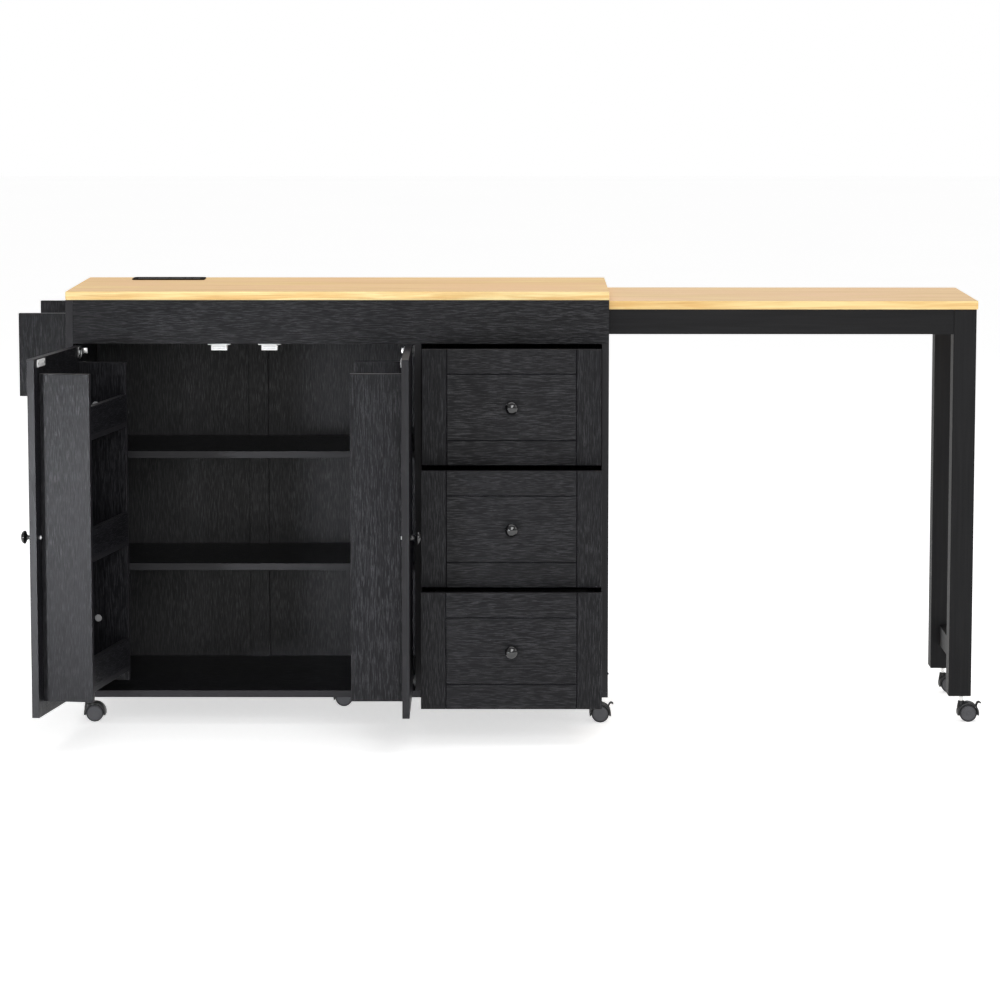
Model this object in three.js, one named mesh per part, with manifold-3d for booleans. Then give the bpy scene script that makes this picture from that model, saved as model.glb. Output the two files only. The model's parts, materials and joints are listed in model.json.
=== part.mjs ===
// Kitchen island cart: a cupboard with two rack doors, three drawers, a side rack, a power outlet in
// the worktop and a dining table that slides into a bay under the worktop. Millimetres, +Z up.
// X runs along the worktop, Y from front to back, Z up from the floor. The model is built from the
// cabinet's front left corner and then moved so that the origin is under the middle of the whole cart.
import * as THREE from 'three';
import { mergeVertices } from 'three/addons/utils/BufferGeometryUtils.js';
import Module from 'manifold-3d';

const wasm = await Module();
wasm.setup();

// ---- driving dimensions ------------------------------------------------------------------------

// cabinet
const CAB_W = 1140;
const CAB_D = 460;
const HEIGHT = 920;
const TOP_T = 18;
const BOARD = 15;
const BACK_T = 6;
const BASE_Z = 58;
const FASCIA_H = 92;
const RAIL_T = 14;
const DRAWER_BAY_W = 378.5;
const SHELF_FRONT = 123;
const SHELF_TOPS = { shelf_upper: 570, shelf_lower: 328 };
const STRIP_W = 43;
const STRIP_T = 9;
const FIT = 0.3;

// doors
const DOOR_GAP = 3;
const DOOR_REACH = 356;
const PIVOT_IN = 5;
const DOOR_OPEN_LEFT = 99.5;
const DOOR_OPEN_RIGHT = 90.5;
const KNOB_FROM_EDGE = 27;
const DOOR_KNOB_Z = 443;
const RACK = { near: 36, far: 324, depth: 104.5, bottom: 106, top: 776, end: 12, tray: 12, rail: 12 };
const TRAY_Z = [126, 392, 641];
const GUARD_H = 56;
const HINGE = { y: 19, plate: 2, length: 38, arm: 26, armWidth: 12, height: 24, drop: 4 };

// drawers, from the top one down, with how far each is pulled out
const PULLED = { top: 100, middle: 180, bottom: 240 };
const RUNNER = 13;
const BOX_WALL = 12;
const BOX_DEPTH = 400;
const BOX_HEIGHT = 160;
const BOX_LIFT = 30;
const BOX_BASE = 6;

// knob
const KNOB_R = 13.5;
const KNOB_PROUD = 25;

// sliding table
const TABLE_RIGHT = 1915;
const TABLE_LEN = 920;
const TABLE_FRONT = 17;
const TABLE_D = 420;
const TABLE_TOP_Z = 899.5;
const APRON_BOTTOM = 829;
const LEG_W = 48;
const LEG_D = 52;
const LEG_INSET_X = 2.5;
const LEG_INSET_Y = 5;
const LEG_BOTTOM = 57.5;
const STRETCHER = { bottom: 111, height: 43, thick: 18, outward: 4 };

// side rack
const SIDE_RACK = { out: 102, front: 28, rear: 415, bottom: 697, top: 872 };
const SIDE_TRAY = { thick: 12, lift: 15, guard: 60 };

// outlet
const OUTLET = { x: 103, width: 159, front: 364, back: 428, proud: 3, corner: 10 };
const OUTLET_BODY = { inset: 6, drop: 38, front: 370, back: 422 };
const GLAND_R = 7;
const GLAND_Z = 888;

// magnetic door catches
const CATCH = { apart: 106, front: 18, back: 42, flangeW: 48, flangeDrop: 5, bodyW: 34, bodyDrop: 15 };

// casters, with angles in degrees above the horizontal on the side that the wheel trails to
const WHEEL_R = 18.5;
const WHEEL_SIDES = 28;
const WHEEL_INNER = 3.6;
const WHEEL_OUTER = 14.2;
const HOOD_R = 23;
const HOOD_POCKET_R = 19.6;
const HOOD_HALF_W = 16;
const HOOD_FROM = -12;
const HOOD_TO = 192;
const HUB_R = 6.6;
const WEB_HALF_W = 2.6;
const AXLE_R = 3;
const TRAIL = 14.5;
const STEM_R = 4;
const BOSS_R = 8.5;
const BOSS_CAP = { radius: 6.8, rise: 2.5 };
const STEM_RING = { radius: 6.8, thick: 3 };
const CASTER_INSET_LEFT = [32.5, 42];
const CASTER_INSET_RIGHT = [30, 36];
const TABLE_CASTER_OUTWARD = 6;
const LEVER = { radius: 22, angle: 38, boss: 2.2, thick: 2.8, halfWidth: 7, slotFrom: 24, slotTo: 62 };
const LEVER_HOOK = [[20, 21.2], [23.4, 23], [27.8, 20.4]];

// ---- worked-out places -------------------------------------------------------------------------

const TOP_UNDER = HEIGHT - TOP_T;
const FASCIA_BOTTOM = TOP_UNDER - FASCIA_H;
const FLOOR_TOP = BASE_Z + BOARD;
const BAY_FLOOR_TOP = FASCIA_BOTTOM + BOARD;
const BACK_Y = CAB_D - BACK_T;
const RIGHT_IN = CAB_W - BOARD;
const DIVIDER_RIGHT = RIGHT_IN - DRAWER_BAY_W;
const DIVIDER_LEFT = DIVIDER_RIGHT - BOARD;
const BAY_MIDDLE = (BOARD + DIVIDER_LEFT) / 2;
const RAIL_Y = BACK_Y - RAIL_T;
const DOOR_BOTTOM = FLOOR_TOP + DOOR_GAP;
const DOOR_TOP = FASCIA_BOTTOM - DOOR_GAP;
const TABLE_LEFT = TABLE_RIGHT - TABLE_LEN;
const TABLE_BACK = TABLE_FRONT + TABLE_D;
const LEG_RIGHT = TABLE_RIGHT - LEG_INSET_X;
const LEG_LEFT = LEG_RIGHT - LEG_W;
const LEG_FRONT = TABLE_FRONT + LEG_INSET_Y;
const LEG_BACK = TABLE_BACK - LEG_INSET_Y;
const TABLE_UNDER = TABLE_TOP_Z - TOP_T;

// ---- materials ---------------------------------------------------------------------------------

function finish(color, roughness, metalness) {
  return new THREE.MeshStandardMaterial({ color, roughness, metalness });
}
const natural = () => finish(0xe7c393, 0.5, 0);
const black = () => finish(0x2b2b2d, 0.6, 0);
const darkFilm = () => finish(0x242426, 0.65, 0);
const glossBlack = () => finish(0x0c0c0d, 0.2, 0);
const satinBlack = () => finish(0x1b1b1c, 0.45, 0);
const tread = () => finish(0x3a3a3c, 0.6, 0);
const steel = () => finish(0xb9bbbd, 0.3, 1);
const white = () => finish(0xeeeeec, 0.45, 0);

// ---- solids ------------------------------------------------------------------------------------

const cart = new THREE.Group();

// A plain box between two corners.
function block([x0, x1], [y0, y1], [z0, z1]) {
  const geometry = new THREE.BoxGeometry(x1 - x0, y1 - y0, z1 - z0);
  geometry.translate((x0 + x1) / 2, (y0 + y1) / 2, (z0 + z1) / 2);
  return geometry;
}

// A closed mesh as a solid that can be joined and cut.
function solid(geometry) {
  const bare = geometry.index ? geometry.toNonIndexed() : geometry.clone();
  bare.deleteAttribute('normal');
  bare.deleteAttribute('uv');
  const merged = mergeVertices(bare, 1e-4);
  const vertProperties = new Float32Array(merged.attributes.position.array);
  const triVerts = new Uint32Array(merged.index.array);
  return new wasm.Manifold(new wasm.Mesh({ numProp: 3, vertProperties, triVerts }));
}

// The mesh of a joined or cut solid.
function geometryOf(manifold) {
  const mesh = manifold.getMesh();
  const geometry = new THREE.BufferGeometry();
  geometry.setAttribute('position', new THREE.BufferAttribute(new Float32Array(mesh.vertProperties), 3));
  geometry.setIndex(new THREE.BufferAttribute(new Uint32Array(mesh.triVerts), 1));
  return geometry;
}

// A round bar along one axis, from one end to the other.
function bar(axis, radius, centre, from, to, segments = 16) {
  const geometry = new THREE.CylinderGeometry(radius, radius, to - from, segments);
  if (axis === 'x') geometry.rotateZ(Math.PI / 2);
  if (axis === 'z') geometry.rotateX(Math.PI / 2);
  const middle = (from + to) / 2;
  const place = { x: [middle, ...centre], y: [centre[0], middle, centre[1]], z: [...centre, middle] }[axis];
  geometry.translate(...place);
  return geometry;
}

// An outline in X and Z, pushed along Y.
function slab(shape, y0, y1, curveSegments = 12) {
  const geometry = new THREE.ExtrudeGeometry(shape, { depth: y1 - y0, bevelEnabled: false, curveSegments });
  geometry.rotateX(Math.PI / 2);
  geometry.translate(0, y1, 0);
  return geometry;
}

function add(group, name, geometry, material) {
  const mesh = new THREE.Mesh(geometry, material);
  mesh.name = name;
  group.add(mesh);
}

// ---- cabinet -----------------------------------------------------------------------------------

function carcass() {
  const inside = [FLOOR_TOP, FASCIA_BOTTOM];
  add(cart, 'left_side_panel', block([0, BOARD], [0, BACK_Y], [FLOOR_TOP, TOP_UNDER]), black());
  add(cart, 'right_side_panel', block([RIGHT_IN, CAB_W], [0, BACK_Y], inside), black());
  add(cart, 'centre_divider', block([DIVIDER_LEFT, DIVIDER_RIGHT], [0, BACK_Y], inside), black());
  add(cart, 'bottom_panel', block([0, CAB_W], [0, BACK_Y], [BASE_Z, FLOOR_TOP]), black());
  add(cart, 'front_fascia', block([BOARD, CAB_W], [0, BOARD], [FASCIA_BOTTOM, TOP_UNDER]), black());
  const bayFloor = block([BOARD, CAB_W], [BOARD, BACK_Y], [FASCIA_BOTTOM, BAY_FLOOR_TOP]);
  add(cart, 'table_bay_floor', bayFloor, black());
  for (const [name, top] of Object.entries(SHELF_TOPS)) {
    const depth = [SHELF_FRONT, BACK_Y - STRIP_T - FIT];
    add(cart, name, block([BOARD, DIVIDER_LEFT], depth, [top - BOARD, top]), black());
  }
  const strip = [BAY_MIDDLE - STRIP_W / 2, BAY_MIDDLE + STRIP_W / 2];
  add(cart, 'back_joining_strip', block(strip, [BACK_Y - STRIP_T, BACK_Y], inside), darkFilm());
}

// The rear rail and the back panel have a hole that the outlet's gland passes through.
function back() {
  const glandX = OUTLET.x + OUTLET.width / 2;
  const hole = solid(bar('y', GLAND_R + 1, [glandX, GLAND_Z], RAIL_Y - 1, CAB_D + 1));
  const rail = solid(block([BOARD, CAB_W], [RAIL_Y, BACK_Y], [BAY_FLOOR_TOP, TOP_UNDER]));
  const panel = solid(block([0, CAB_W], [BACK_Y, CAB_D], [BASE_Z, TOP_UNDER]));
  add(cart, 'rear_top_rail', geometryOf(rail.subtract(hole)), black());
  add(cart, 'back_panel', geometryOf(panel.subtract(hole)), darkFilm());
}

// The worktop is cut through for the outlet, whose flange lies on it and whose body hangs in the cut.
function worktopAndOutlet() {
  const { x, width, proud, corner } = OUTLET;
  const { inset, drop, front, back: rear } = OUTLET_BODY;
  const bodyX = [x + inset, x + width - inset];
  const cutX = [bodyX[0] - 1, bodyX[1] + 1];
  const cut = solid(block(cutX, [front - 1, rear + 1], [TOP_UNDER - 1, HEIGHT + 1]));
  const top = solid(block([0, CAB_W], [0, CAB_D], [TOP_UNDER, HEIGHT]));
  add(cart, 'countertop', geometryOf(top.subtract(cut)), natural());

  const [left, right] = [x + corner, x + width - corner];
  const [low, high] = [OUTLET.front + corner, OUTLET.back - corner];
  const outline = new THREE.Shape();
  outline.absarc(left, low, corner, Math.PI, 1.5 * Math.PI, false);
  outline.absarc(right, low, corner, 1.5 * Math.PI, 2 * Math.PI, false);
  outline.absarc(right, high, corner, 0, 0.5 * Math.PI, false);
  outline.absarc(left, high, corner, 0.5 * Math.PI, Math.PI, false);
  outline.closePath();
  const plate = { depth: proud, bevelEnabled: false, curveSegments: 6 };
  const flange = new THREE.ExtrudeGeometry(outline, plate);
  flange.translate(0, 0, HEIGHT);
  const body = solid(block(bodyX, [front, rear], [HEIGHT - drop, HEIGHT + proud / 2]));
  const gland = solid(bar('y', GLAND_R, [x + width / 2, GLAND_Z], rear - 2, CAB_D - 1));
  add(cart, 'outlet_housing', geometryOf(solid(flange).add(body).add(gland)), satinBlack());
}

// A magnetic door catch: a screw flange under the bay floor with the magnet body below it.
function catches() {
  const depth = [CATCH.front, CATCH.back];
  const middles = { catch_left: BAY_MIDDLE - CATCH.apart / 2, catch_right: BAY_MIDDLE + CATCH.apart / 2 };
  for (const [name, middle] of Object.entries(middles)) {
    const plateX = [middle - CATCH.flangeW / 2, middle + CATCH.flangeW / 2];
    const magnetX = [middle - CATCH.bodyW / 2, middle + CATCH.bodyW / 2];
    const plate = block(plateX, depth, [FASCIA_BOTTOM - CATCH.flangeDrop, FASCIA_BOTTOM]);
    const magnet = block(magnetX, depth, [FASCIA_BOTTOM - CATCH.bodyDrop, FASCIA_BOTTOM - 1]);
    add(cart, name, geometryOf(solid(plate).add(solid(magnet))), white());
  }
}

function sideRack() {
  const { out, front, rear, bottom, top } = SIDE_RACK;
  const { thick, lift, guard } = SIDE_TRAY;
  const ends = { side_rack_front_end: front, side_rack_rear_end: rear - BOARD };
  for (const [name, y] of Object.entries(ends)) {
    add(cart, name, block([-out, 0], [y, y + BOARD], [bottom, top]), black());
  }
  const trayZ = bottom + lift;
  const profile = new THREE.Shape();
  profile.moveTo(-out, trayZ);
  profile.lineTo(0, trayZ);
  profile.lineTo(0, trayZ + thick);
  profile.lineTo(-out + thick, trayZ + thick);
  profile.lineTo(-out + thick, trayZ + guard);
  profile.lineTo(-out, trayZ + guard);
  profile.closePath();
  add(cart, 'side_rack_tray', slab(profile, front + BOARD, rear - BOARD), black());
}

// ---- knobs -------------------------------------------------------------------------------------

// A turned knob whose base is at the origin and which stands out along -Y.
function knobGeometry() {
  const profile = [
    [0, 0],
    [8, 0],
    [8, 2],
    [4.5, 4],
    [4.5, 12],
    [KNOB_R, 16.5],
    [KNOB_R, 19],
    [9, 23.5],
    [0, KNOB_PROUD],
  ];
  const geometry = new THREE.LatheGeometry(profile.map(([r, h]) => new THREE.Vector2(r, h)), 20);
  geometry.rotateX(Math.PI);
  return solidFacingOut(geometry);
}

// A lathe mesh with its seam closed and its faces turned outwards.
function solidFacingOut(geometry) {
  const bare = geometry.clone();
  bare.deleteAttribute('normal');
  bare.deleteAttribute('uv');
  const merged = mergeVertices(bare, 1e-4);
  const index = Array.from(merged.index.array);
  const position = merged.attributes.position;
  const faces = [];
  let volume = 0;
  const [a, b, c] = [new THREE.Vector3(), new THREE.Vector3(), new THREE.Vector3()];
  for (let i = 0; i < index.length; i += 3) {
    const [p, q, r] = index.slice(i, i + 3);
    if (p === q || q === r || r === p) continue;
    faces.push([p, q, r]);
    a.fromBufferAttribute(position, p);
    b.fromBufferAttribute(position, q);
    c.fromBufferAttribute(position, r);
    volume += a.dot(b.cross(c));
  }
  const turned = volume < 0 ? faces.map(([p, q, r]) => [p, r, q]) : faces;
  merged.setIndex(turned.flat());
  return merged;
}

function addKnob(group, name, x, y, z) {
  const geometry = knobGeometry();
  geometry.translate(x, y, z);
  add(group, name, geometry, glossBlack());
}

// ---- doors -------------------------------------------------------------------------------------

// A door is drawn shut, with r measured from the inner face of the panel it hangs on, and then turned
// about its pivot. side is 1 for the left door and -1 for the right one.
function door(label, side, hungAt, openDegrees) {
  const pivot = new THREE.Group();
  pivot.position.set(hungAt + side * PIVOT_IN, 0, 0);
  pivot.rotation.z = THREE.MathUtils.degToRad(-side * openDegrees);
  cart.add(pivot);
  const span = (r0, r1) => [side * (r0 - PIVOT_IN), side * (r1 - PIVOT_IN)].sort((m, n) => m - n);

  const panel = block(span(DOOR_GAP, DOOR_REACH), [0, BOARD], [DOOR_BOTTOM, DOOR_TOP]);
  add(pivot, `door_${label}_panel`, panel, black());
  const knobX = side * (DOOR_REACH - KNOB_FROM_EDGE - PIVOT_IN);
  addKnob(pivot, `door_${label}_knob`, knobX, -FIT, DOOR_KNOB_Z);
  add(pivot, `door_${label}_rack`, geometryOf(rackSolid(span)), black());
}

// The rack on a door: two tall end boards with trays between them, each with a guard rail.
function rackSolid(span) {
  const { near, far, depth, bottom, top, end, tray, rail } = RACK;
  const back = BOARD + FIT;
  const y = [back, back + depth];
  let rack = solid(block(span(near, near + end), y, [bottom, top]));
  rack = rack.add(solid(block(span(far - end, far), y, [bottom, top])));
  const inside = span(near + end / 2, far - end / 2);
  for (const z of TRAY_Z) {
    rack = rack.add(solid(block(inside, y, [z, z + tray])));
    rack = rack.add(solid(block(inside, [y[1] - rail, y[1]], [z + tray / 2, z + tray + GUARD_H])));
  }
  return rack;
}

// The fixed half of a concealed hinge: a mounting plate on the panel and the arm that stands off it.
function hinges(label, side, hungAt) {
  const { y, plate, length, arm, armWidth, height, drop } = HINGE;
  const heights = { upper: FASCIA_BOTTOM - drop - height, lower: FLOOR_TOP + drop };
  for (const [where, z] of Object.entries(heights)) {
    const outline = new THREE.Shape();
    outline.moveTo(hungAt, y);
    outline.lineTo(hungAt + side * (plate + arm), y);
    outline.lineTo(hungAt + side * (plate + arm), y + armWidth / 2);
    outline.lineTo(hungAt + side * plate * 4, y + armWidth);
    outline.lineTo(hungAt + side * plate, y + armWidth);
    outline.lineTo(hungAt + side * plate, y + length);
    outline.lineTo(hungAt, y + length);
    outline.closePath();
    const body = new THREE.ExtrudeGeometry(outline, { depth: height, bevelEnabled: false });
    body.translate(0, 0, z);
    add(cart, `hinge_${label}_${where}`, body, steel());
  }
}

// ---- drawers -----------------------------------------------------------------------------------

function drawers() {
  const labels = Object.keys(PULLED);
  const bayHeight = FASCIA_BOTTOM - FLOOR_TOP;
  const frontHeight = (bayHeight - DOOR_GAP * (labels.length + 1)) / labels.length;
  labels.forEach((label, row) => {
    const drawer = new THREE.Group();
    drawer.position.y = -PULLED[label];
    cart.add(drawer);
    const top = FASCIA_BOTTOM - DOOR_GAP - row * (frontHeight + DOOR_GAP);
    const bottom = top - frontHeight;
    const x = [DIVIDER_RIGHT + DOOR_GAP, RIGHT_IN - DOOR_GAP];
    add(drawer, `drawer_${label}_front`, block(x, [0, BOARD], [bottom, top]), black());
    addKnob(drawer, `drawer_${label}_knob`, (x[0] + x[1]) / 2, -FIT, (bottom + top) / 2);

    const boxX = [DIVIDER_RIGHT + RUNNER, RIGHT_IN - RUNNER];
    const boxY = [BOARD, BOARD + BOX_DEPTH];
    const boxZ = [bottom + BOX_LIFT, bottom + BOX_LIFT + BOX_HEIGHT];
    const outer = solid(block(boxX, boxY, boxZ));
    const inner = solid(block([boxX[0] + BOX_WALL, boxX[1] - BOX_WALL],
      [boxY[0] + BOX_WALL, boxY[1] - BOX_WALL], [boxZ[0] + BOX_BASE, boxZ[1] + 1]));
    add(drawer, `drawer_${label}_box`, geometryOf(outer.subtract(inner)), darkFilm());
  });
}

// ---- table -------------------------------------------------------------------------------------

function table() {
  const top = block([TABLE_LEFT, TABLE_RIGHT], [TABLE_FRONT, TABLE_BACK], [TABLE_UNDER, TABLE_TOP_Z]);
  add(cart, 'table_top', top, natural());
  const aprons = { table_apron_front: LEG_FRONT, table_apron_rear: LEG_BACK - BOARD };
  for (const [name, y] of Object.entries(aprons)) {
    add(cart, name, block([TABLE_LEFT, LEG_LEFT], [y, y + BOARD], [APRON_BOTTOM, TABLE_UNDER]), black());
  }
  const legs = { table_leg_front: LEG_FRONT, table_leg_rear: LEG_BACK - LEG_D };
  for (const [name, y] of Object.entries(legs)) {
    add(cart, name, block([LEG_LEFT, LEG_RIGHT], [y, y + LEG_D], [LEG_BOTTOM, TABLE_UNDER]), black());
  }
  const middle = (LEG_LEFT + LEG_RIGHT) / 2 + STRETCHER.outward;
  const x = [middle - STRETCHER.thick / 2, middle + STRETCHER.thick / 2];
  const z = [STRETCHER.bottom, STRETCHER.bottom + STRETCHER.height];
  add(cart, 'table_stretcher', block(x, [LEG_FRONT + LEG_D, LEG_BACK - LEG_D], z), black());
}

// ---- casters -----------------------------------------------------------------------------------

// The hood and stem of a caster, around its wheel centre. The stem stands TRAIL behind the axle. A
// caster with a brake has a slot in its hood for the lever.
function hoodSolid(stemTop, slotted) {
  const cover = pie(HOOD_R, HOOD_FROM, HOOD_TO);
  const boss = solid(bar('z', BOSS_R, [-TRAIL, 0], 0, HOOD_R - 1));
  let body = solid(slab(cover, -HOOD_HALF_W, HOOD_HALF_W, 14)).add(boss);
  for (const side of [-1, 1]) {
    const [near, far] = [side * WEB_HALF_W, side * (HOOD_HALF_W + 1)].sort((m, n) => m - n);
    body = body.subtract(solid(bar('y', HOOD_POCKET_R, [0, 0], near, far, 28)));
  }
  const hub = solid(bar('y', HUB_R, [0, 0], -WEB_HALF_W, WEB_HALF_W));
  const cap = solid(bar('z', BOSS_CAP.radius, [-TRAIL, 0], HOOD_R - 2, HOOD_R + BOSS_CAP.rise));
  body = body.add(hub).add(cap);
  body = body.subtract(solid(bar('y', AXLE_R + 0.4, [0, 0], -WEB_HALF_W - 1, WEB_HALF_W + 1)));
  if (slotted) body = body.subtract(leverSlot());
  const ringTop = stemTop - WHEEL_R - FIT;
  const stem = solid(bar('z', STEM_R, [-TRAIL, 0], HOOD_R, ringTop, 12));
  const ring = solid(bar('z', STEM_RING.radius, [-TRAIL, 0], ringTop - STEM_RING.thick, ringTop));
  return body.add(stem).add(ring);
}

// A sector of a disc about the wheel centre, between two angles in degrees.
function pie(radius, fromDegrees, toDegrees) {
  const [from, to] = [fromDegrees, toDegrees].map(THREE.MathUtils.degToRad);
  const sector = new THREE.Shape();
  sector.moveTo(0, 0);
  sector.lineTo(radius * Math.cos(from), radius * Math.sin(from));
  sector.absarc(0, 0, radius, from, to, false);
  sector.closePath();
  return sector;
}

// The part of the hood's shell that the lever passes through.
function leverSlot() {
  const halfWidth = LEVER.halfWidth + 0.4;
  const sector = solid(slab(pie(HOOD_R + 3, LEVER.slotFrom, LEVER.slotTo), -halfWidth, halfWidth, 6));
  return sector.subtract(solid(bar('y', HOOD_POCKET_R - 0.5, [0, 0], -halfWidth - 1, halfWidth + 1, 28)));
}

// Twin wheels on one axle, turned about Y. The flats of the faceted tread touch the floor.
function wheelGeometry() {
  const edge = 1.5;
  const corner = WHEEL_R / Math.cos(Math.PI / WHEEL_SIDES);
  const half = [
    [AXLE_R, WHEEL_INNER],
    [corner, WHEEL_INNER],
    [corner, WHEEL_OUTER - edge],
    [corner - edge, WHEEL_OUTER],
    [0, WHEEL_OUTER],
  ];
  const mirrored = half.map(([r, y]) => [r, -y]).reverse();
  const profile = [...mirrored, ...half].map(([r, y]) => new THREE.Vector2(r, y));
  const geometry = new THREE.LatheGeometry(profile, WHEEL_SIDES);
  geometry.rotateY(Math.PI / WHEEL_SIDES);
  return solidFacingOut(geometry);
}

// The foot lever that locks a caster: a bent tab that rises from its pivot and hooks over at the tip.
function leverGeometry() {
  const angle = THREE.MathUtils.degToRad(LEVER.angle);
  const pivot = [LEVER.radius * Math.cos(angle), LEVER.radius * Math.sin(angle)];
  const line = [pivot, ...LEVER_HOOK].map(([x, z]) => new THREE.Vector2(x, z));
  const sides = [1, -1].map((side) => line.map((point, i) => {
    const before = line[Math.max(i - 1, 0)];
    const after = line[Math.min(i + 1, line.length - 1)];
    const along = after.clone().sub(before).setLength(side * LEVER.thick / 2);
    return new THREE.Vector2(point.x - along.y, point.y + along.x);
  }));
  const tab = new THREE.Shape([...sides[0], ...sides[1].reverse()]);
  const boss = solid(bar('y', LEVER.boss, pivot, -LEVER.halfWidth, LEVER.halfWidth, 12));
  return geometryOf(solid(slab(tab, -LEVER.halfWidth, LEVER.halfWidth)).add(boss));
}

// Each caster stands under its stem, with the wheel trailing towards +X.
function casters() {
  const legX = (LEG_LEFT + LEG_RIGHT) / 2 + TABLE_CASTER_OUTWARD;
  const [leftX, leftY] = CASTER_INSET_LEFT;
  const [rightIn, rightY] = CASTER_INSET_RIGHT;
  const rightX = CAB_W - rightIn;
  const stems = [
    { name: 'front_left', x: leftX, y: leftY, top: BASE_Z },
    { name: 'front_right', x: rightX, y: rightY, top: BASE_Z, lever: true },
    { name: 'rear_left', x: leftX, y: CAB_D - leftY, top: BASE_Z, lever: true },
    { name: 'rear_right', x: rightX, y: CAB_D - rightY, top: BASE_Z },
    { name: 'centre', x: CAB_W / 2 - TRAIL, y: CAB_D / 2, top: BASE_Z },
    { name: 'table_front', x: legX, y: LEG_FRONT + LEG_D / 2, top: LEG_BOTTOM, lever: true },
    { name: 'table_rear', x: legX, y: LEG_BACK - LEG_D / 2, top: LEG_BOTTOM },
  ];
  for (const { name, x, y, top, lever } of stems) {
    const caster = new THREE.Group();
    caster.position.set(x + TRAIL, y, WHEEL_R);
    cart.add(caster);
    add(caster, `caster_${name}_hood`, geometryOf(hoodSolid(top, lever)), satinBlack());
    add(caster, `caster_${name}_wheels`, wheelGeometry(), tread());
    if (lever) add(caster, `caster_${name}_brake`, leverGeometry(), satinBlack());
  }
}

// ---- assembly ----------------------------------------------------------------------------------

carcass();
back();
worktopAndOutlet();
catches();
sideRack();
for (const [label, side, hungAt, open] of [
  ['left', 1, BOARD, DOOR_OPEN_LEFT],
  ['right', -1, DIVIDER_LEFT, DOOR_OPEN_RIGHT],
]) {
  door(label, side, hungAt, open);
  hinges(label, side, hungAt);
}
drawers();
table();
casters();

// The origin is on the floor under the middle of the cart as it stands here.
cart.updateMatrixWorld(true);
const middle = new THREE.Box3().setFromObject(cart, true).getCenter(new THREE.Vector3());
cart.position.set(-middle.x, -middle.y, 0);

export default cart;
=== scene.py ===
"""The looks of the kitchen island cart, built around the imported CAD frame. Blender 4.5.

Shapes are written in millimetres in the row frame (+X towards the table, +Y to the back, +Z up) and are
scaled to metres when a piece is made. Doors are drawn shut and then turned about their hinge.
"""

import json
import math
import random

import bmesh
import bpy
from mathutils import Matrix, Vector


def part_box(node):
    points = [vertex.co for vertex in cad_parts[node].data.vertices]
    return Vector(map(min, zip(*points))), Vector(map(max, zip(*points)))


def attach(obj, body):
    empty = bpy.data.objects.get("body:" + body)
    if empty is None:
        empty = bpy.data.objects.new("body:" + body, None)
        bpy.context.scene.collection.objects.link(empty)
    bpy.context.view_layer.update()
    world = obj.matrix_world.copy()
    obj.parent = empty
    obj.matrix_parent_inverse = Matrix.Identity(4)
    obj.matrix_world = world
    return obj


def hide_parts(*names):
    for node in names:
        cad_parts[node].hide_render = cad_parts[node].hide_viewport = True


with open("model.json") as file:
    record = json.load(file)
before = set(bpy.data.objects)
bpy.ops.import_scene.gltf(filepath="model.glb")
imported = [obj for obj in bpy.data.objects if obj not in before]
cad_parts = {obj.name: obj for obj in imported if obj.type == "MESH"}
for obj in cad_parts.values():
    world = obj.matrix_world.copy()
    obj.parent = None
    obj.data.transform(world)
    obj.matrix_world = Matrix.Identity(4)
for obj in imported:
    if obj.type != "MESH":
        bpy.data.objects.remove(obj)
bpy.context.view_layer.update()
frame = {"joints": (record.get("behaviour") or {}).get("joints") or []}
random.seed(11)

MM = 0.001
JOINTS = {j["name"]: j for j in frame["joints"]}
SIDES = {"left": 1, "right": -1}
DRAWERS = ("top", "middle", "bottom")


def box(node):
    """Lowest and highest corner of a CAD node, in millimetres."""
    lo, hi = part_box(node)
    return lo / MM, hi / MM


def middle_of(node):
    """The middle of a CAD node's box, in millimetres."""
    lo, hi = box(node)
    return [(low + high) / 2 for low, high in zip(lo, hi)]


def pivot(joint):
    """A hinge joint's point, in millimetres."""
    return Vector(JOINTS[joint]["pos_m"]) / MM


# ---- camera, floor and light ----

CABINET_CORNER = box("left_side_panel")[0]
CAMERA_FROM_CORNER = (950.14, -7968.62, 1468.64)
CAMERA_PITCH = 7.07
CAMERA_YAW = 0.28
CAMERA_LENS = 137.12

camera_data = bpy.data.cameras.new("camera")
camera_data.lens = CAMERA_LENS
camera_data.sensor_width = 36
camera_data.clip_end = 100
camera = bpy.data.objects.new("camera", camera_data)
camera.location = (
    (CABINET_CORNER.x + CAMERA_FROM_CORNER[0]) * MM,
    (CABINET_CORNER.y + CAMERA_FROM_CORNER[1]) * MM,
    CAMERA_FROM_CORNER[2] * MM,
)
camera.rotation_euler = (math.radians(90 - CAMERA_PITCH), 0, math.radians(CAMERA_YAW))
bpy.context.scene.collection.objects.link(camera)
bpy.context.scene.camera = camera
bpy.context.scene.view_settings.view_transform = "Standard"


def area_light(name, place, aim, size, watts, tint=(1, 1, 1), spread=180):
    data = bpy.data.lights.new(name, "AREA")
    data.shape = "RECTANGLE"
    data.size, data.size_y = size
    data.energy = watts
    data.color = tint
    data.spread = math.radians(spread)
    lamp = bpy.data.objects.new(name, data)
    lamp.location = place
    lamp.rotation_euler = (Vector(aim) - Vector(place)).to_track_quat("-Z", "Y").to_euler()
    bpy.context.scene.collection.objects.link(lamp)


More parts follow.
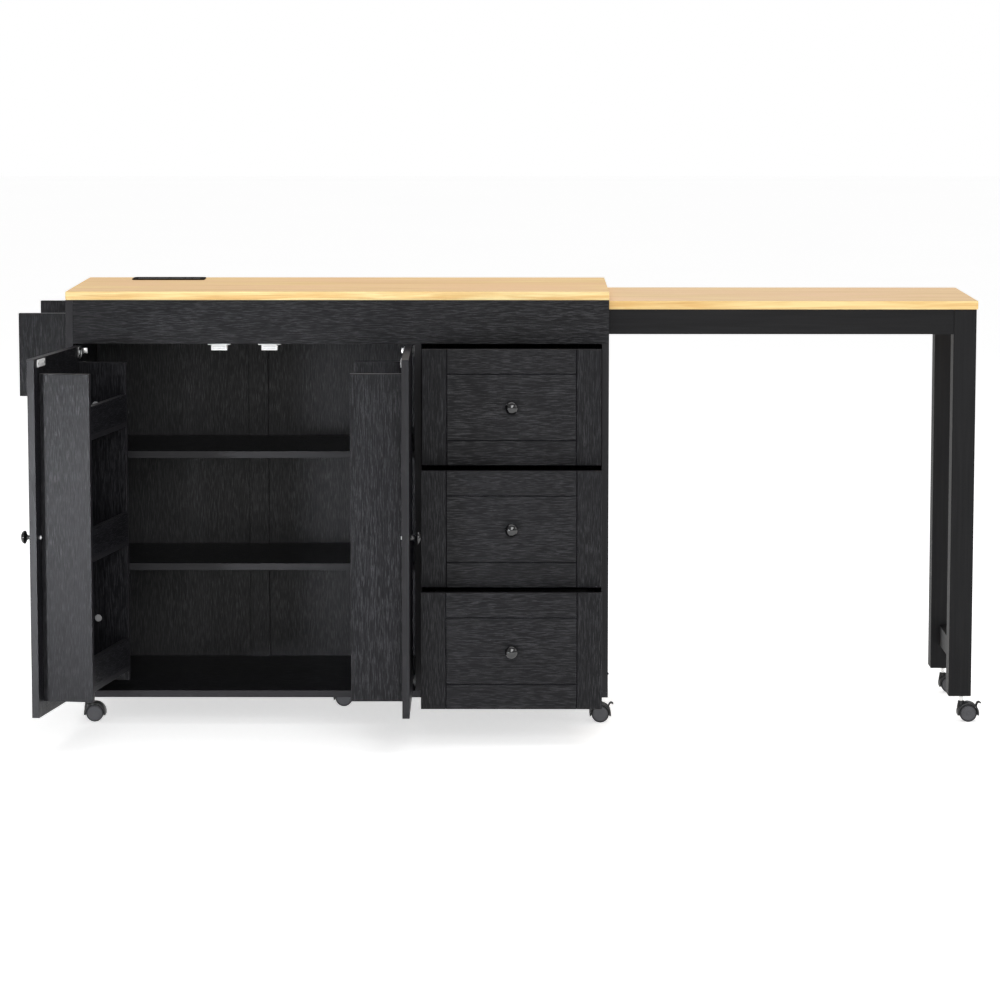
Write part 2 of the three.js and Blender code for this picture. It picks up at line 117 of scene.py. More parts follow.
area_light("key_softbox", (0.9, -6.0, 3.4), (0.1, 0, 0.5), (3.0, 2.0), 98)
area_light("fill_softbox", (0.4, -9.5, 2.6), (0, 0, 0.5), (3.0, 1.6), 86)
area_light("left_softbox", (-3.3, -5.2, 0.3), (-0.9, -0.75, 0.36), (0.5, 0.5), 1.9, (0.93, 0.95, 1.0), 16)
area_light("right_softbox", (5.0, -2.5, 2.6), (0, 0, 0.5), (2.0, 2.5), 22)
area_light("top_softbox", (0, 0.2, 4.2), (0, 0, 0.5), (5.0, 3.0), 62)
area_light("rear_softbox", (0, 4.6, 5.2), (0, 0, 0.5), (4.5, 2.5), 70)


# ---- shaders ----


class Shader:
    """A material with one Principled shader, and short ways to add and join nodes."""

    def __init__(self, name, roughness=0.5, specular=0.5, **sockets):
        self.material = bpy.data.materials.new(name)
        self.material.use_nodes = True
        self.tree = self.material.node_tree
        self.surface = self.tree.nodes["Principled BSDF"]
        self.surface.inputs["Roughness"].default_value = roughness
        self.surface.inputs["Specular IOR Level"].default_value = specular
        for socket, value in sockets.items():
            self.surface.inputs[socket.replace("_", " ").title()].default_value = value

    def node(self, kind, inputs=None, **settings):
        made = self.tree.nodes.new("ShaderNode" + kind)
        for key, value in settings.items():
            setattr(made, key, value)
        for key, value in (inputs or {}).items():
            if isinstance(value, bpy.types.NodeSocket):
                self.tree.links.new(value, made.inputs[key])
            else:
                made.inputs[key].default_value = value
        return made

    def feed(self, socket, value):
        self.tree.links.new(value, self.surface.inputs[socket])

    def finish(self, colour, roughness, normal):
        """Joins the three sockets that every material drives."""
        self.feed("Base Color", colour)
        self.feed("Roughness", roughness)
        self.feed("Normal", normal)
        return self.material

    def stretched(self, scale, source):
        """Coordinates scaled by three numbers."""
        return self.node("VectorMath", {0: source, 1: scale}, operation="MULTIPLY").outputs[0]

    def noise(self, scale, source, detail=3.0, roughness=0.55, distortion=0.0):
        settings = {
            "Vector": self.stretched(scale, source),
            "Scale": 1.0,
            "Detail": detail,
            "Roughness": roughness,
            "Distortion": distortion,
        }
        return self.node("TexNoise", settings).outputs["Fac"]

    def ramp(self, source, low, high, out_low=0.0, out_high=1.0):
        """A number mapped from one range to another and held at its ends."""
        values = {"Value": source, 1: low, 2: high, 3: out_low, 4: out_high}
        return self.node("MapRange", values).outputs["Result"]

    def math(self, operation, a, b):
        return self.node("Math", {0: a, 1: b}, operation=operation).outputs[0]

    def mix(self, factor, a, b):
        values = {0: factor, 6: opaque(a), 7: opaque(b)}
        return self.node("Mix", values, data_type="RGBA").outputs[2]

    def bump(self, height, strength, distance, before=None):
        values = {"Height": height, "Strength": strength, "Distance": distance}
        if before is not None:
            values["Normal"] = before
        return self.node("Bump", values).outputs["Normal"]


def opaque(colour):
    """Three numbers with their alpha. A socket stays as it is."""
    return (*colour, 1.0) if isinstance(colour, tuple) else colour


def grain_coordinates(shader):
    """A board's own coordinates in metres, with X along its grain."""
    return shader.node("Attribute", attribute_name="grain").outputs["Vector"]


def object_coordinates(shader):
    return shader.node("TexCoord").outputs["Object"]


def natural_wood(name, low, high, blush, specular):
    """Pale oak-coloured wood: wandering bands, rosy patches, fine fibres and short dark pores."""
    s = Shader(name, roughness=0.5, specular=specular)
    grain = grain_coordinates(s)
    bands = s.ramp(s.noise((1.3, 20, 20), grain, 4, 0.6, 1.1), 0.36, 0.64)
    streaks = s.ramp(s.noise((3.2, 90, 90), grain, 3, 0.55, 0.6), 0.42, 0.68)
    fibres = s.ramp(s.noise((9, 420, 420), grain, 4, 0.6), 0.3, 0.72)
    pores = s.ramp(s.noise((60, 1700, 1700), grain, 2, 0.5), 0.64, 0.74)
    patches = s.ramp(s.noise((2.6, 7, 7), grain, 3, 0.55), 0.4, 0.62)
    tone = s.mix(bands, low, high)
    tone = s.mix(s.math("MULTIPLY", patches, 0.8), tone, blush)
    tone = s.mix(s.math("MULTIPLY", streaks, 0.5), tone, (0.68, 0.38, 0.16))
    tone = s.mix(s.math("MULTIPLY", fibres, 0.3), tone, (0.94, 0.71, 0.36))
    tone = s.mix(s.math("MULTIPLY", pores, 0.35), tone, (0.42, 0.25, 0.12))
    height = s.math("SUBTRACT", fibres, s.math("MULTIPLY", pores, 1.5))
    return s.finish(tone, s.ramp(fibres, 0, 1, 0.44, 0.56), s.bump(height, 0.25, 0.0003))


def wood_band(name, low, high):
    """The golden veneer on the wooden boards' edges, with thin brown lines along it."""
    s = Shader(name, roughness=0.5, specular=0.2)
    grain = grain_coordinates(s)
    clouds = s.ramp(s.noise((4, 60, 60), grain, 3, 0.55, 0.8), 0.36, 0.64)
    lines = s.ramp(s.noise((7, 380, 380), grain, 3, 0.6, 0.5), 0.5, 0.72)
    tone = s.mix(clouds, low, high)
    tone = s.mix(s.math("MULTIPLY", lines, 0.5), tone, (0.62, 0.33, 0.11))
    return s.finish(tone, s.ramp(lines, 0, 1, 0.46, 0.6), s.bump(lines, 0.15, 0.0002))


def embossed_black(name, low, high, strength):
    """Black board whose foil is pressed with short fine grain marks that catch the light; the lighter colour
    of these marks is partly grain tone and partly painted sheen.
    """
    s = Shader(name)
    grain = grain_coordinates(s)
    grain_sheen_strokes = s.ramp(s.noise((45, 800, 800), grain, 2, 0.5), 0.50, 0.68)
    hairs = s.ramp(s.noise((16, 1500, 1500), grain, 2, 0.5), 0.35, 0.7)
    waves = s.ramp(s.noise((5, 45, 45), grain, 3, 0.5, 0.6), 0.3, 0.7)
    tone = s.mix(s.math("MULTIPLY", hairs, 0.35), low, high)
    # Painted sheen: the grain marks are lifted toward the light tone, partly grain colour and partly a
    # painted highlight standing in for the glint on the embossing.
    tone = s.mix(s.math("MULTIPLY", grain_sheen_strokes, s.ramp(waves, 0, 1, 0.35, 1.0)), tone, high)
    s.feed("Specular IOR Level", s.ramp(grain_sheen_strokes, 0, 1, 0.15, 0.34))
    height = s.math("ADD", grain_sheen_strokes, s.math("MULTIPLY", hairs, 0.4))
    return s.finish(tone, s.ramp(grain_sheen_strokes, 0, 1, 0.37, 0.27), s.bump(height, strength, 0.0003))


def edge_band(name, low, high):
    """The smooth foil on a board's narrow edges, with faint lines along it and slight rubbing."""
    s = Shader(name, roughness=0.42, specular=0.25)
    grain = grain_coordinates(s)
    lines = s.ramp(s.noise((7, 700, 700), grain, 3, 0.5), 0.3, 0.7)
    rubbed = s.ramp(s.noise((18, 60, 60), grain, 4, 0.6), 0.55, 0.8)
    tone = s.mix(lines, low, high)
    tone = s.mix(s.math("MULTIPLY", rubbed, 0.3), tone, (0.05, 0.05, 0.053))
    return s.finish(tone, s.ramp(rubbed, 0, 1, 0.40, 0.55), s.bump(lines, 0.12, 0.0002))


def painted_black():
    """Smooth black lacquer on wood, with a light orange-peel and a trace of the grain."""
    s = Shader("painted_black", roughness=0.55, specular=0.16)
    grain = grain_coordinates(s)
    peel = s.noise((420, 420, 420), grain, 2, 0.5)
    trace = s.ramp(s.noise((6, 160, 160), grain, 3, 0.5), 0.35, 0.7)
    clouds = s.ramp(s.noise((4, 9, 9), grain, 2, 0.5), 0.3, 0.7)
    tone = s.mix(clouds, (0.0058, 0.0058, 0.0066), (0.008, 0.008, 0.0088))
    tone = s.mix(s.math("MULTIPLY", trace, 0.2), tone, (0.026, 0.026, 0.027))
    normal = s.bump(s.math("ADD", peel, trace), 0.07, 0.0003)
    return s.finish(tone, s.ramp(peel, 0.3, 0.7, 0.5, 0.62), normal)


def moulded(name, low, high, roughness, texture, strength, specular=0.4):
    """Moulded plastic with a fine spark-eroded texture and slight tone changes."""
    s = Shader(name, roughness=roughness, specular=specular)
    where = object_coordinates(s)
    specks = s.noise((texture,) * 3, where, 3, 0.6)
    clouds = s.ramp(s.noise((45, 45, 45), where, 3, 0.5), 0.3, 0.7)
    worn = s.ramp(specks, 0.3, 0.7, roughness - 0.06, roughness + 0.08)
    return s.finish(s.mix(clouds, low, high), worn, s.bump(specks, strength, 0.0002))


def ribbed_wheel():
    """The wheel's grey disc, moulded with a fine crosswise diamond pattern."""
    s = Shader("wheel_grey", roughness=0.45, specular=0.4)
    where = object_coordinates(s)
    heights = []
    for angle in (45, -45):
        turn = {"Vector": where, "Angle": math.radians(angle)}
        turned = s.node("VectorRotate", turn, rotation_type="Y_AXIS")
        wave = {"Vector": turned.outputs[0], "Scale": 115.0, "Distortion": 0.0}
        heights.append(s.node("TexWave", wave, bands_direction="X").outputs["Fac"])
    diamonds = s.math("MULTIPLY", *heights)
    clouds = s.ramp(s.noise((60, 60, 60), where, 3, 0.5), 0.3, 0.7)
    tone = s.mix(clouds, (0.040, 0.040, 0.044), (0.055, 0.055, 0.06))
    tone = s.mix(s.math("MULTIPLY", diamonds, 0.9), tone, (0.115, 0.115, 0.125))
    return s.finish(tone, s.ramp(diamonds, 0, 1, 0.5, 0.32), s.bump(diamonds, 0.6, 0.0005))


def gloss_black():
    """Black lacquered metal, with a little dust in its gloss."""
    s = Shader("gloss_black", roughness=0.14, specular=0.6, coat_weight=0.5, coat_roughness=0.05)
    where = object_coordinates(s)
    dust = s.ramp(s.noise((260, 260, 260), where, 4, 0.6), 0.5, 0.8)
    tone = s.mix(dust, (0.004, 0.004, 0.0045), (0.012, 0.012, 0.013))
    ripple = s.noise((120, 120, 120), where, 2, 0.5)
    return s.finish(tone, s.ramp(dust, 0, 1, 0.1, 0.24), s.bump(ripple, 0.04, 0.0003))


def steel(name, low, high, roughness, metallic=1.0):
    """Plated steel with fine drawn lines and dull spots."""
    s = Shader(name, roughness=roughness, specular=0.5, metallic=metallic)
    where = object_coordinates(s)
    lines = s.noise((900, 900, 60), where, 3, 0.6)
    dull = s.ramp(s.noise((110, 110, 110), where, 4, 0.6), 0.45, 0.75)
    drawn = s.ramp(lines, 0.3, 0.7, roughness - 0.06, roughness + 0.12)
    return s.finish(s.mix(dull, high, low), drawn, s.bump(lines, 0.12, 0.0002))


FLOOR_GLOW = 0.62
WORLD_LIGHT = 0.4


def pale_floor():
    """A plain pale studio floor with a barely seen mottle."""
    s = Shader("pale_floor", roughness=0.7, specular=0.2)
    where = object_coordinates(s)
    mottle = s.noise((0.8, 0.8, 0.8), where, 2, 0.5)
    s.feed("Base Color", s.mix(mottle, (0.88, 0.88, 0.88), (0.92, 0.92, 0.92)))
    s.surface.inputs["Emission Color"].default_value = (1, 1, 1, 1)
    s.surface.inputs["Emission Strength"].default_value = FLOOR_GLOW
    return s.material


def studio_world():
    """White behind the object, and a softer light on it."""
    world = bpy.data.worlds.new("studio")
    world.use_nodes = True
    tree = world.node_tree
    ground = tree.nodes["Background"]
    ground.inputs["Color"].default_value = (1, 1, 1, 1)
    ground.inputs["Strength"].default_value = WORLD_LIGHT
    seen = tree.nodes.new("ShaderNodeBackground")
    seen.inputs["Strength"].default_value = 1.0
    path = tree.nodes.new("ShaderNodeLightPath")
    mix = tree.nodes.new("ShaderNodeMixShader")
    seen.inputs["Color"].default_value = (1, 1, 1, 1)
    tree.links.new(path.outputs["Is Camera Ray"], mix.inputs["Fac"])
    tree.links.new(ground.outputs[0], mix.inputs[1])
    tree.links.new(seen.outputs[0], mix.inputs[2])
    tree.links.new(mix.outputs[0], tree.nodes["World Output"].inputs["Surface"])
    bpy.context.scene.world = world


studio_world()

WOOD = [
    natural_wood("natural_wood", (0.74, 0.46, 0.19), (0.90, 0.655, 0.30), (0.84, 0.52, 0.29), 0.2),
    wood_band("worktop_edge_band", (0.81, 0.53, 0.21), (0.95, 0.77, 0.39)),
]
TABLE_WOOD = [
    natural_wood("table_wood", (0.74, 0.48, 0.22), (0.88, 0.65, 0.33), (0.86, 0.56, 0.34), 0.5),
    wood_band("table_edge_band", (0.74, 0.46, 0.17), (0.88, 0.68, 0.32)),
]
FACE = embossed_black("black_board", (0.003, 0.003, 0.0038), (0.0245, 0.0245, 0.029), 0.4)
BAND = edge_band("black_edge_band", (0.010, 0.0097, 0.0115), (0.015, 0.0146, 0.017))
BLACK = [FACE, BAND]
LACQUER = [painted_black()]
FOIL = [
    embossed_black("backing_foil", (0.018, 0.018, 0.019), (0.050, 0.050, 0.053), 0.15),
    BAND,
]
GLOSS = [gloss_black()]
HOOD_NYLON = [moulded("hood_nylon", (0.011, 0.011, 0.0115), (0.017, 0.017, 0.018), 0.38, 1500, 0.12)]
TREAD = moulded("tread_nylon", (0.009, 0.009, 0.0095), (0.016, 0.016, 0.017), 0.5, 1300, 0.2)
DISC = ribbed_wheel()
OUTLET_LOW, OUTLET_HIGH = (0.010, 0.008, 0.0065), (0.016, 0.013, 0.0105)
OUTLET_BLACK = moulded("outlet_black", OUTLET_LOW, OUTLET_HIGH, 0.6, 1800, 0.14, 0.02)
OUTLET_DARK = moulded("outlet_dark", (0.004, 0.004, 0.004), (0.007, 0.007, 0.007), 0.4, 1800, 0.08, 0.1)
WHITE = [moulded("white_nylon", (0.80, 0.80, 0.79), (0.88, 0.88, 0.87), 0.42, 1400, 0.1)]
GREY_CAP = [moulded("grey_zinc_cam", (0.30, 0.30, 0.31), (0.42, 0.42, 0.43), 0.4, 900, 0.25)]
RUBBER = [moulded("black_rubber", (0.012, 0.012, 0.012), (0.02, 0.02, 0.02), 0.7, 1100, 0.25)]
NICKEL = [steel("nickel_plate", (0.52, 0.52, 0.52), (0.78, 0.78, 0.77), 0.26)]
ZINC = [steel("zinc_plate", (0.42, 0.43, 0.44), (0.62, 0.63, 0.64), 0.36)]
BRIGHT_ZINC = [steel("bright_zinc", (0.80, 0.81, 0.82), (0.92, 0.92, 0.92), 0.4, 0.3)]
RUNNER_BLACK = [steel("black_enamel_steel", (0.02, 0.02, 0.021), (0.035, 0.035, 0.037), 0.42)]

# ---- making pieces ----


def piece(name, bm, body, materials, slot, stands_for=(), smooth=None, turn=None):
    """A mesh drawn in millimetres becomes a piece that rides on a body."""
    if turn is not None:
        bm.transform(turn)
    bm.transform(Matrix.Scale(MM, 4))
    bmesh.ops.recalc_face_normals(bm, faces=bm.faces[:])
    mesh = bpy.data.meshes.new(name)
    bm.to_mesh(mesh)
    bm.free()
    for material in materials:
        mesh.materials.append(material)
    if smooth is not None:
        mesh.polygons.foreach_set("use_smooth", [True] * len(mesh.polygons))
        mesh.set_sharp_from_angle(angle=math.radians(smooth))
    made = bpy.data.objects.new(name, mesh)
    bpy.context.scene.collection.objects.link(made)
    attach(made, body)
    if stands_for:
        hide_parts(*stands_for)
    return made


def fitting(name, bm, body, materials=ZINC, stands_for=(), turn=None):
    """A small metal piece with smooth sides."""
    return piece(name, bm, body, materials, "hinge_steel", stands_for, smooth=35, turn=turn)


def cuboid(lo, hi):
    bm = bmesh.new()
    bmesh.ops.create_cube(bm, size=1)
    lo, hi = Vector(lo), Vector(hi)
    for v in bm.verts:
        v.co = Vector([(lo[i] + hi[i]) / 2 + v.co[i] * (hi[i] - lo[i]) for i in range(3)])
    return bm


def eased(lo, hi, ease, segments=2):
    """A box with all its edges rounded."""
    bm = cuboid(lo, hi)
    bmesh.ops.bevel(bm, geom=bm.edges[:], offset=ease, segments=segments, profile=0.5, affect="EDGES")
    return bm


def set_grain(bm, axis):
    """Writes each point's place along and across the grain, in metres, shifted at random per board."""
    layer = bm.verts.layers.float_vector.new("grain")
    shift = Vector([random.uniform(0, 7) for _ in range(3)])
    order = {"x": (0, 1, 2), "y": (1, 2, 0), "z": (2, 0, 1)}[axis]
    for v in bm.verts:
        v[layer] = Vector([v.co[i] * MM for i in order]) + shift


def band_edges(bm, lo, hi):
    """Gives a board's narrow faces its second material."""
    size = Vector(hi) - Vector(lo)
    thin = min(range(3), key=lambda i: size[i])
    bm.normal_update()
    for f in bm.faces:
        f.material_index = 0 if abs(f.normal[thin]) > 0.8 else 1


def board(name, lo, hi, grain, body, materials=BLACK, slot="black_board", ease=0.7, **rest):
    bm = eased(lo, hi, ease)
    if len(materials) > 1:
        band_edges(bm, lo, hi)
    set_grain(bm, grain)
    return piece(name, bm, body, materials, slot, **rest)


def node_board(node, grain, body, name=None, **rest):
    """A board of a CAD node's own size that stands for it."""
    lo, hi = box(node)
    return board(name or node + "_board", lo, hi, grain, body, stands_for=[node], **rest)


def catmull_rom(p, q, r, s, t):
    """A value between q and r, from its four neighbours."""
    square = (2 * p - 5 * q + 4 * r - s) * t**2
    cube = (3 * q - p - 3 * r + s) * t**3
    return 0.5 * (2 * q + (r - p) * t + square + cube)


def smooth_line(points, steps=6):
    """A Catmull-Rom line through points."""
    line = []
    ends = [points[0]] + list(points) + [points[-1]]
    for a, b, c, d in zip(ends, ends[1:], ends[2:], ends[3:]):
        for k in range(steps):
            t = k / steps
            line.append(tuple(catmull_rom(*four, t) for four in zip(a, b, c, d)))
    return line + [tuple(points[-1])]


UPRIGHT = {
    "x": Matrix.Rotation(math.pi / 2, 4, "Y"),
    "y": Matrix.Rotation(-math.pi / 2, 4, "X"),
    "z": Matrix.Identity(4),
}


def lathe(profile, axis="z", at=(0, 0, 0), segments=48, first=0.0, last=None, flip=False):
    """Turns (radius, height) points about an axis, all the way round or between two angles in degrees."""
    bm = bmesh.new()
    whole = last is None
    count = segments if whole else segments + 1
    sweep = 2 * math.pi if whole else math.radians(last - first)
    rings = []
    for k in range(count):
        a = math.radians(first) + sweep * k / segments
        rings.append([bm.verts.new((r * math.cos(a), r * math.sin(a), h)) for r, h in profile])
    n = len(profile)
    closed = profile[0][0] > 0
    for k in range(segments):
        here, there = rings[k], rings[(k + 1) % count]
        for i in range(n if closed else n - 1):
            j = (i + 1) % n
            bm.faces.new((here[i], there[i], there[j], here[j]))
    if not whole:
        bm.faces.new(rings[0])
        bm.faces.new(rings[-1])
    bmesh.ops.remove_doubles(bm, verts=bm.verts[:], dist=1e-4)
    bmesh.ops.dissolve_degenerate(bm, edges=bm.edges[:], dist=1e-5)
    if flip:
        bm.transform(Matrix.Rotation(math.pi, 4, "X"))
    bm.transform(Matrix.Translation(at) @ UPRIGHT[axis])
    bmesh.ops.recalc_face_normals(bm, faces=bm.faces[:])
    return bm


def rod(axis, radius, at, start, end, ease=0.4, segments=32):
    """A round bar with eased ends. at has the two other coordinates."""
    ease = min(ease, radius * 0.4, (end - start) * 0.4)
    profile = [(0, start), (radius - ease, start), (radius, start + ease)]
    profile += [(radius, end - ease), (radius - ease, end), (0, end)]
    spot = {"x": (0, *at), "y": (at[0], 0, at[1]), "z": (*at, 0)}[axis]
    return lathe(profile, axis, spot, segments)


def prism(outline, axis, start, end, ease=0.0, segments=2):
    """An outline pushed along an axis. It is drawn in (X, Z) for y, (X, Y) for z and (Y, Z) for x."""
    place = {"x": lambda p, t: (t, *p), "y": lambda p, t: (p[0], t, p[1]), "z": lambda p, t: (*p, t)}[axis]
    bm = bmesh.new()
    low = [bm.verts.new(place(p, start)) for p in outline]
    high = [bm.verts.new(place(p, end)) for p in outline]
    bm.faces.new(low)
    bm.faces.new(high)
    for i in range(len(outline)):
        j = (i + 1) % len(outline)
        bm.faces.new((low[i], low[j], high[j], high[i]))
    bmesh.ops.recalc_face_normals(bm, faces=bm.faces[:])
    if ease:
        rims = [e for e in bm.edges if (e.verts[0] in low) == (e.verts[1] in low)]
        bmesh.ops.bevel(bm, geom=rims, offset=ease, segments=segments, profile=0.5, affect="EDGES")
    return bm


def rounded(x0, y0, x1, y1, radius, steps=6):
    """The outline of a rectangle with round corners."""
    corners = [(x1 - radius, y1 - radius, 0), (x0 + radius, y1 - radius, 90)]
    corners += [(x0 + radius, y0 + radius, 180), (x1 - radius, y0 + radius, 270)]
    line = []
    for cx, cy, start in corners:
        for k in range(steps + 1):
            a = math.radians(start + 90 * k / steps)
            line.append((cx + radius * math.cos(a), cy + radius * math.sin(a)))
    return line


def merged(*parts):
    """Several separate closed meshes as one, such as a plate and the screws on it."""
    whole = parts[0]
    for part in parts[1:]:
        scratch = bpy.data.meshes.new("scratch")
        part.to_mesh(scratch)
        part.free()
        whole.from_mesh(scratch)
        bpy.data.meshes.remove(scratch)
    return whole


def combined(operation, first, *others):
    """Joins or cuts closed meshes with exact booleans: operation is UNION or DIFFERENCE."""
    made = []
    for bm in (first, *others):
        mesh = bpy.data.meshes.new("scratch")
        bm.to_mesh(mesh)
        bm.free()
        made.append(bpy.data.objects.new("scratch", mesh))
        bpy.context.scene.collection.objects.link(made[-1])
    for other in made[1:]:
        step = made[0].modifiers.new("cut", "BOOLEAN")
        step.operation = operation
        step.solver = "EXACT"
        step.object = other
    bpy.context.view_layer.update()
    result = bmesh.new()
    result.from_mesh(made[0].evaluated_get(bpy.context.evaluated_depsgraph_get()).to_mesh())
    for scratch in made:
        mesh = scratch.data
        bpy.data.objects.remove(scratch)
        bpy.data.meshes.remove(mesh)
    return result


def copied(bm, offset):
    twin = bm.copy()
    twin.transform(Matrix.Translation(offset))
    return twin


# ---- small hardware ----


def screw_head(axis, at, face, out, radius=3.4, height=1.4):
    """A pan-head screw with a cross recess. It stands on a face and points out along plus or minus axis."""
    profile = [(0, 0), (radius, 0), (radius * 0.96, height * 0.45), (radius * 0.7, height * 0.85)]
    profile += [(radius * 0.4, height), (0, height)]
    head = lathe(profile, "z", segments=24)
    arm, width = radius * 0.62, radius * 0.16
    cross = [
        cuboid((-arm, -width, height * 0.45), (arm, width, height + 1)),
        cuboid((-width, -arm, height * 0.45), (width, arm, height + 1)),
    ]
    head = combined("DIFFERENCE", head, *cross)
    if out < 0:
        head.transform(Matrix.Rotation(math.pi, 4, "X"))
    spot = {"x": (face, *at), "y": (at[0], face, at[1]), "z": (*at, face)}[axis]
    head.transform(Matrix.Translation(spot) @ UPRIGHT[axis])
    return head


def cam_disc(axis, at, face, out):
    """The turned head of a cam fitting, just proud of the board, with its cross recess."""
    return screw_head(axis, at, face, out, radius=7.5, height=0.9)


# ---- cabinet ----

CABINET_FRONT = CABINET_CORNER.y


def carcass():
    for node in ("left_side_panel", "right_side_panel", "centre_divider"):
        node_board(node, "z", "cabinet")
    for node in ("bottom_panel", "front_fascia", "table_bay_floor", "shelf_upper", "shelf_lower"):
        node_board(node, "x", "cabinet")
    node_board("back_joining_strip", "z", "cabinet", materials=FOIL, slot="backing_board")
    for node in ("side_rack_front_end", "side_rack_rear_end"):
        node_board(node, "z", "cabinet")


def back():
    """Two backing boards that meet behind the joining strip, and the rail, drilled for the gland."""
    rail_lo, rail_hi = box("rear_top_rail")
    lo, hi = box("back_panel")
    strip_lo, strip_hi = box("back_joining_strip")
    seam = (strip_lo.x + strip_hi.x) / 2
    gland = gland_place()

    def drilled(bm):
        return combined("DIFFERENCE", bm, rod("y", GLAND_HOLE_R, gland, rail_lo.y - 5, hi.y + 5, ease=0))

    rail = drilled(eased(rail_lo, rail_hi, 0.7))
    band_edges(rail, rail_lo, rail_hi)
    set_grain(rail, "x")
    piece("rear_top_rail_board", rail, "cabinet", BLACK, "black_board", stands_for=["rear_top_rail"])
    for label, x0, x1 in (("left", lo.x, seam - 0.3), ("right", seam + 0.3, hi.x)):
        corners = (x0, lo.y, lo.z), (x1, hi.y, hi.z)
        bm = eased(*corners, 0.5)
        if label == "left":
            bm = drilled(bm)
        band_edges(bm, *corners)
        set_grain(bm, "z")
        piece(f"back_board_{label}", bm, "cabinet", FOIL, "backing_board", stands_for=["back_panel"])


# ---- outlet ----

GLAND_HOLE_R = 8
GLAND_R = 7
OUTLET_PROUD = 3
OUTLET_DEPTH = 64
OUTLET_BODY_INSET = 6
OUTLET_BODY_DEPTH = (6, 58)
OUTLET_RIM = (10, 9)
FACE_GAP = 0.4
SOCKET_PITCH = 41
USB_FROM_END = 46
USB_PITCH = 16
GLAND_DROP = 35


def gland_place():
    """(X, Z) of the gland, under the middle of the outlet."""
    lo, hi = box("outlet_housing")
    return ((lo.x + hi.x) / 2, hi.z - GLAND_DROP)


def outlet():
    """A flush power strip: a rounded frame, a sunk face with sockets, a tray in the worktop and a gland."""
    lo, hi = box("outlet_housing")
    top = hi.z
    rear = lo.y + OUTLET_DEPTH
    frame_bm = prism(rounded(lo.x, lo.y, hi.x, rear, 10, 8), "z", top - OUTLET_PROUD + 0.1, top, 1.1, 3)
    rim_x, rim_y = OUTLET_RIM
    well = (lo.x + rim_x, lo.y + rim_y, hi.x - rim_x, rear - rim_y)
    frame_bm = combined("DIFFERENCE", frame_bm, prism(rounded(*well, 5), "z", top - 2.2, top + 2))
    shell = {"materials": [OUTLET_BLACK], "slot": "outlet_plastic"}
    piece("outlet_frame", frame_bm, "cabinet", stands_for=["outlet_housing"], smooth=35, **shell)
    middle_y = (well[1] + well[3]) / 2
    face_line = rounded(*(w + g for w, g in zip(well, (FACE_GAP, FACE_GAP, -FACE_GAP, -FACE_GAP))), 4.6)
    plate = prism(face_line, "z", top - 2.1, top - 0.9, 0.3)

    def slit(x, half_width, y_from, y_to):
        return cuboid((x - half_width, middle_y + y_from, top - 3), (x + half_width, middle_y + y_to, top))

    holes = []
    for k in (-1, 0):
        x = (lo.x + hi.x) / 2 + SOCKET_PITCH * k + 4
        for offset, half in ((-6.5, 3.6), (6.5, 4.4)):
            holes.append(slit(x + offset, 1, 3 - half, 3 + half))
        holes.append(rod("z", 2.4, (x, middle_y - 8.5), top - 3, top, ease=0, segments=20))
    ports = [hi.x - USB_FROM_END + USB_PITCH * k for k in (0, 1)]
    holes += [slit(x, 2.6, -6.2, 6.2) for x in ports]
    plate = combined("DIFFERENCE", plate, *holes)
    piece("outlet_face", plate, "cabinet", [OUTLET_DARK], "outlet_plastic", smooth=35)
    tongues = [
        eased((x - 1.1, middle_y - 5.2, top - 2.1), (x + 0.3, middle_y + 5.2, top - 1.5), 0.1) for x in ports
    ]
    piece("outlet_usb_tongues", merged(*tongues), "cabinet", WHITE, "outlet_plastic")

    x0, x1 = lo.x + OUTLET_BODY_INSET, hi.x - OUTLET_BODY_INSET
    y0, y1 = lo.y + OUTLET_BODY_DEPTH[0], lo.y + OUTLET_BODY_DEPTH[1]
    tray = eased((x0, y0, lo.z), (x1, y1, top - OUTLET_PROUD - 0.1), 2.2, 3)
    ribs = []
    for k in range(7):
        x = x0 + (x1 - x0) * (k + 1) / 8
        ribs.append(cuboid((x - 4, y0 + 10, lo.z - 1), (x + 4, y1 - 10, lo.z + 1.2)))
    tray = combined("DIFFERENCE", tray, *ribs)
    piece("outlet_tray", tray, "cabinet", smooth=35, **shell)
    gx, gz = gland_place()
    end = hi.y
    profile = [(0, y1), (GLAND_R, y1), (GLAND_R, end - 9), (GLAND_R - 1, end - 8), (GLAND_R - 1, end - 5)]
    profile += [(GLAND_R, end - 4.4), (GLAND_R - 0.4, end - 1.2), (4.2, end - 1.0)]
    profile += [(3.6, end - 4), (0, end - 4)]
    piece("outlet_gland", lathe(profile, "y", (gx, 0, gz), 40), "cabinet", smooth=30, **shell)


# ---- catches ----

CATCH_BODY_HALF = 17
CATCH_FLANGE_T = 3.6
CATCH_SCREW_OUT = 20.5
POLE_HALF = 13
POLE_UP = (3.4, 7.2)


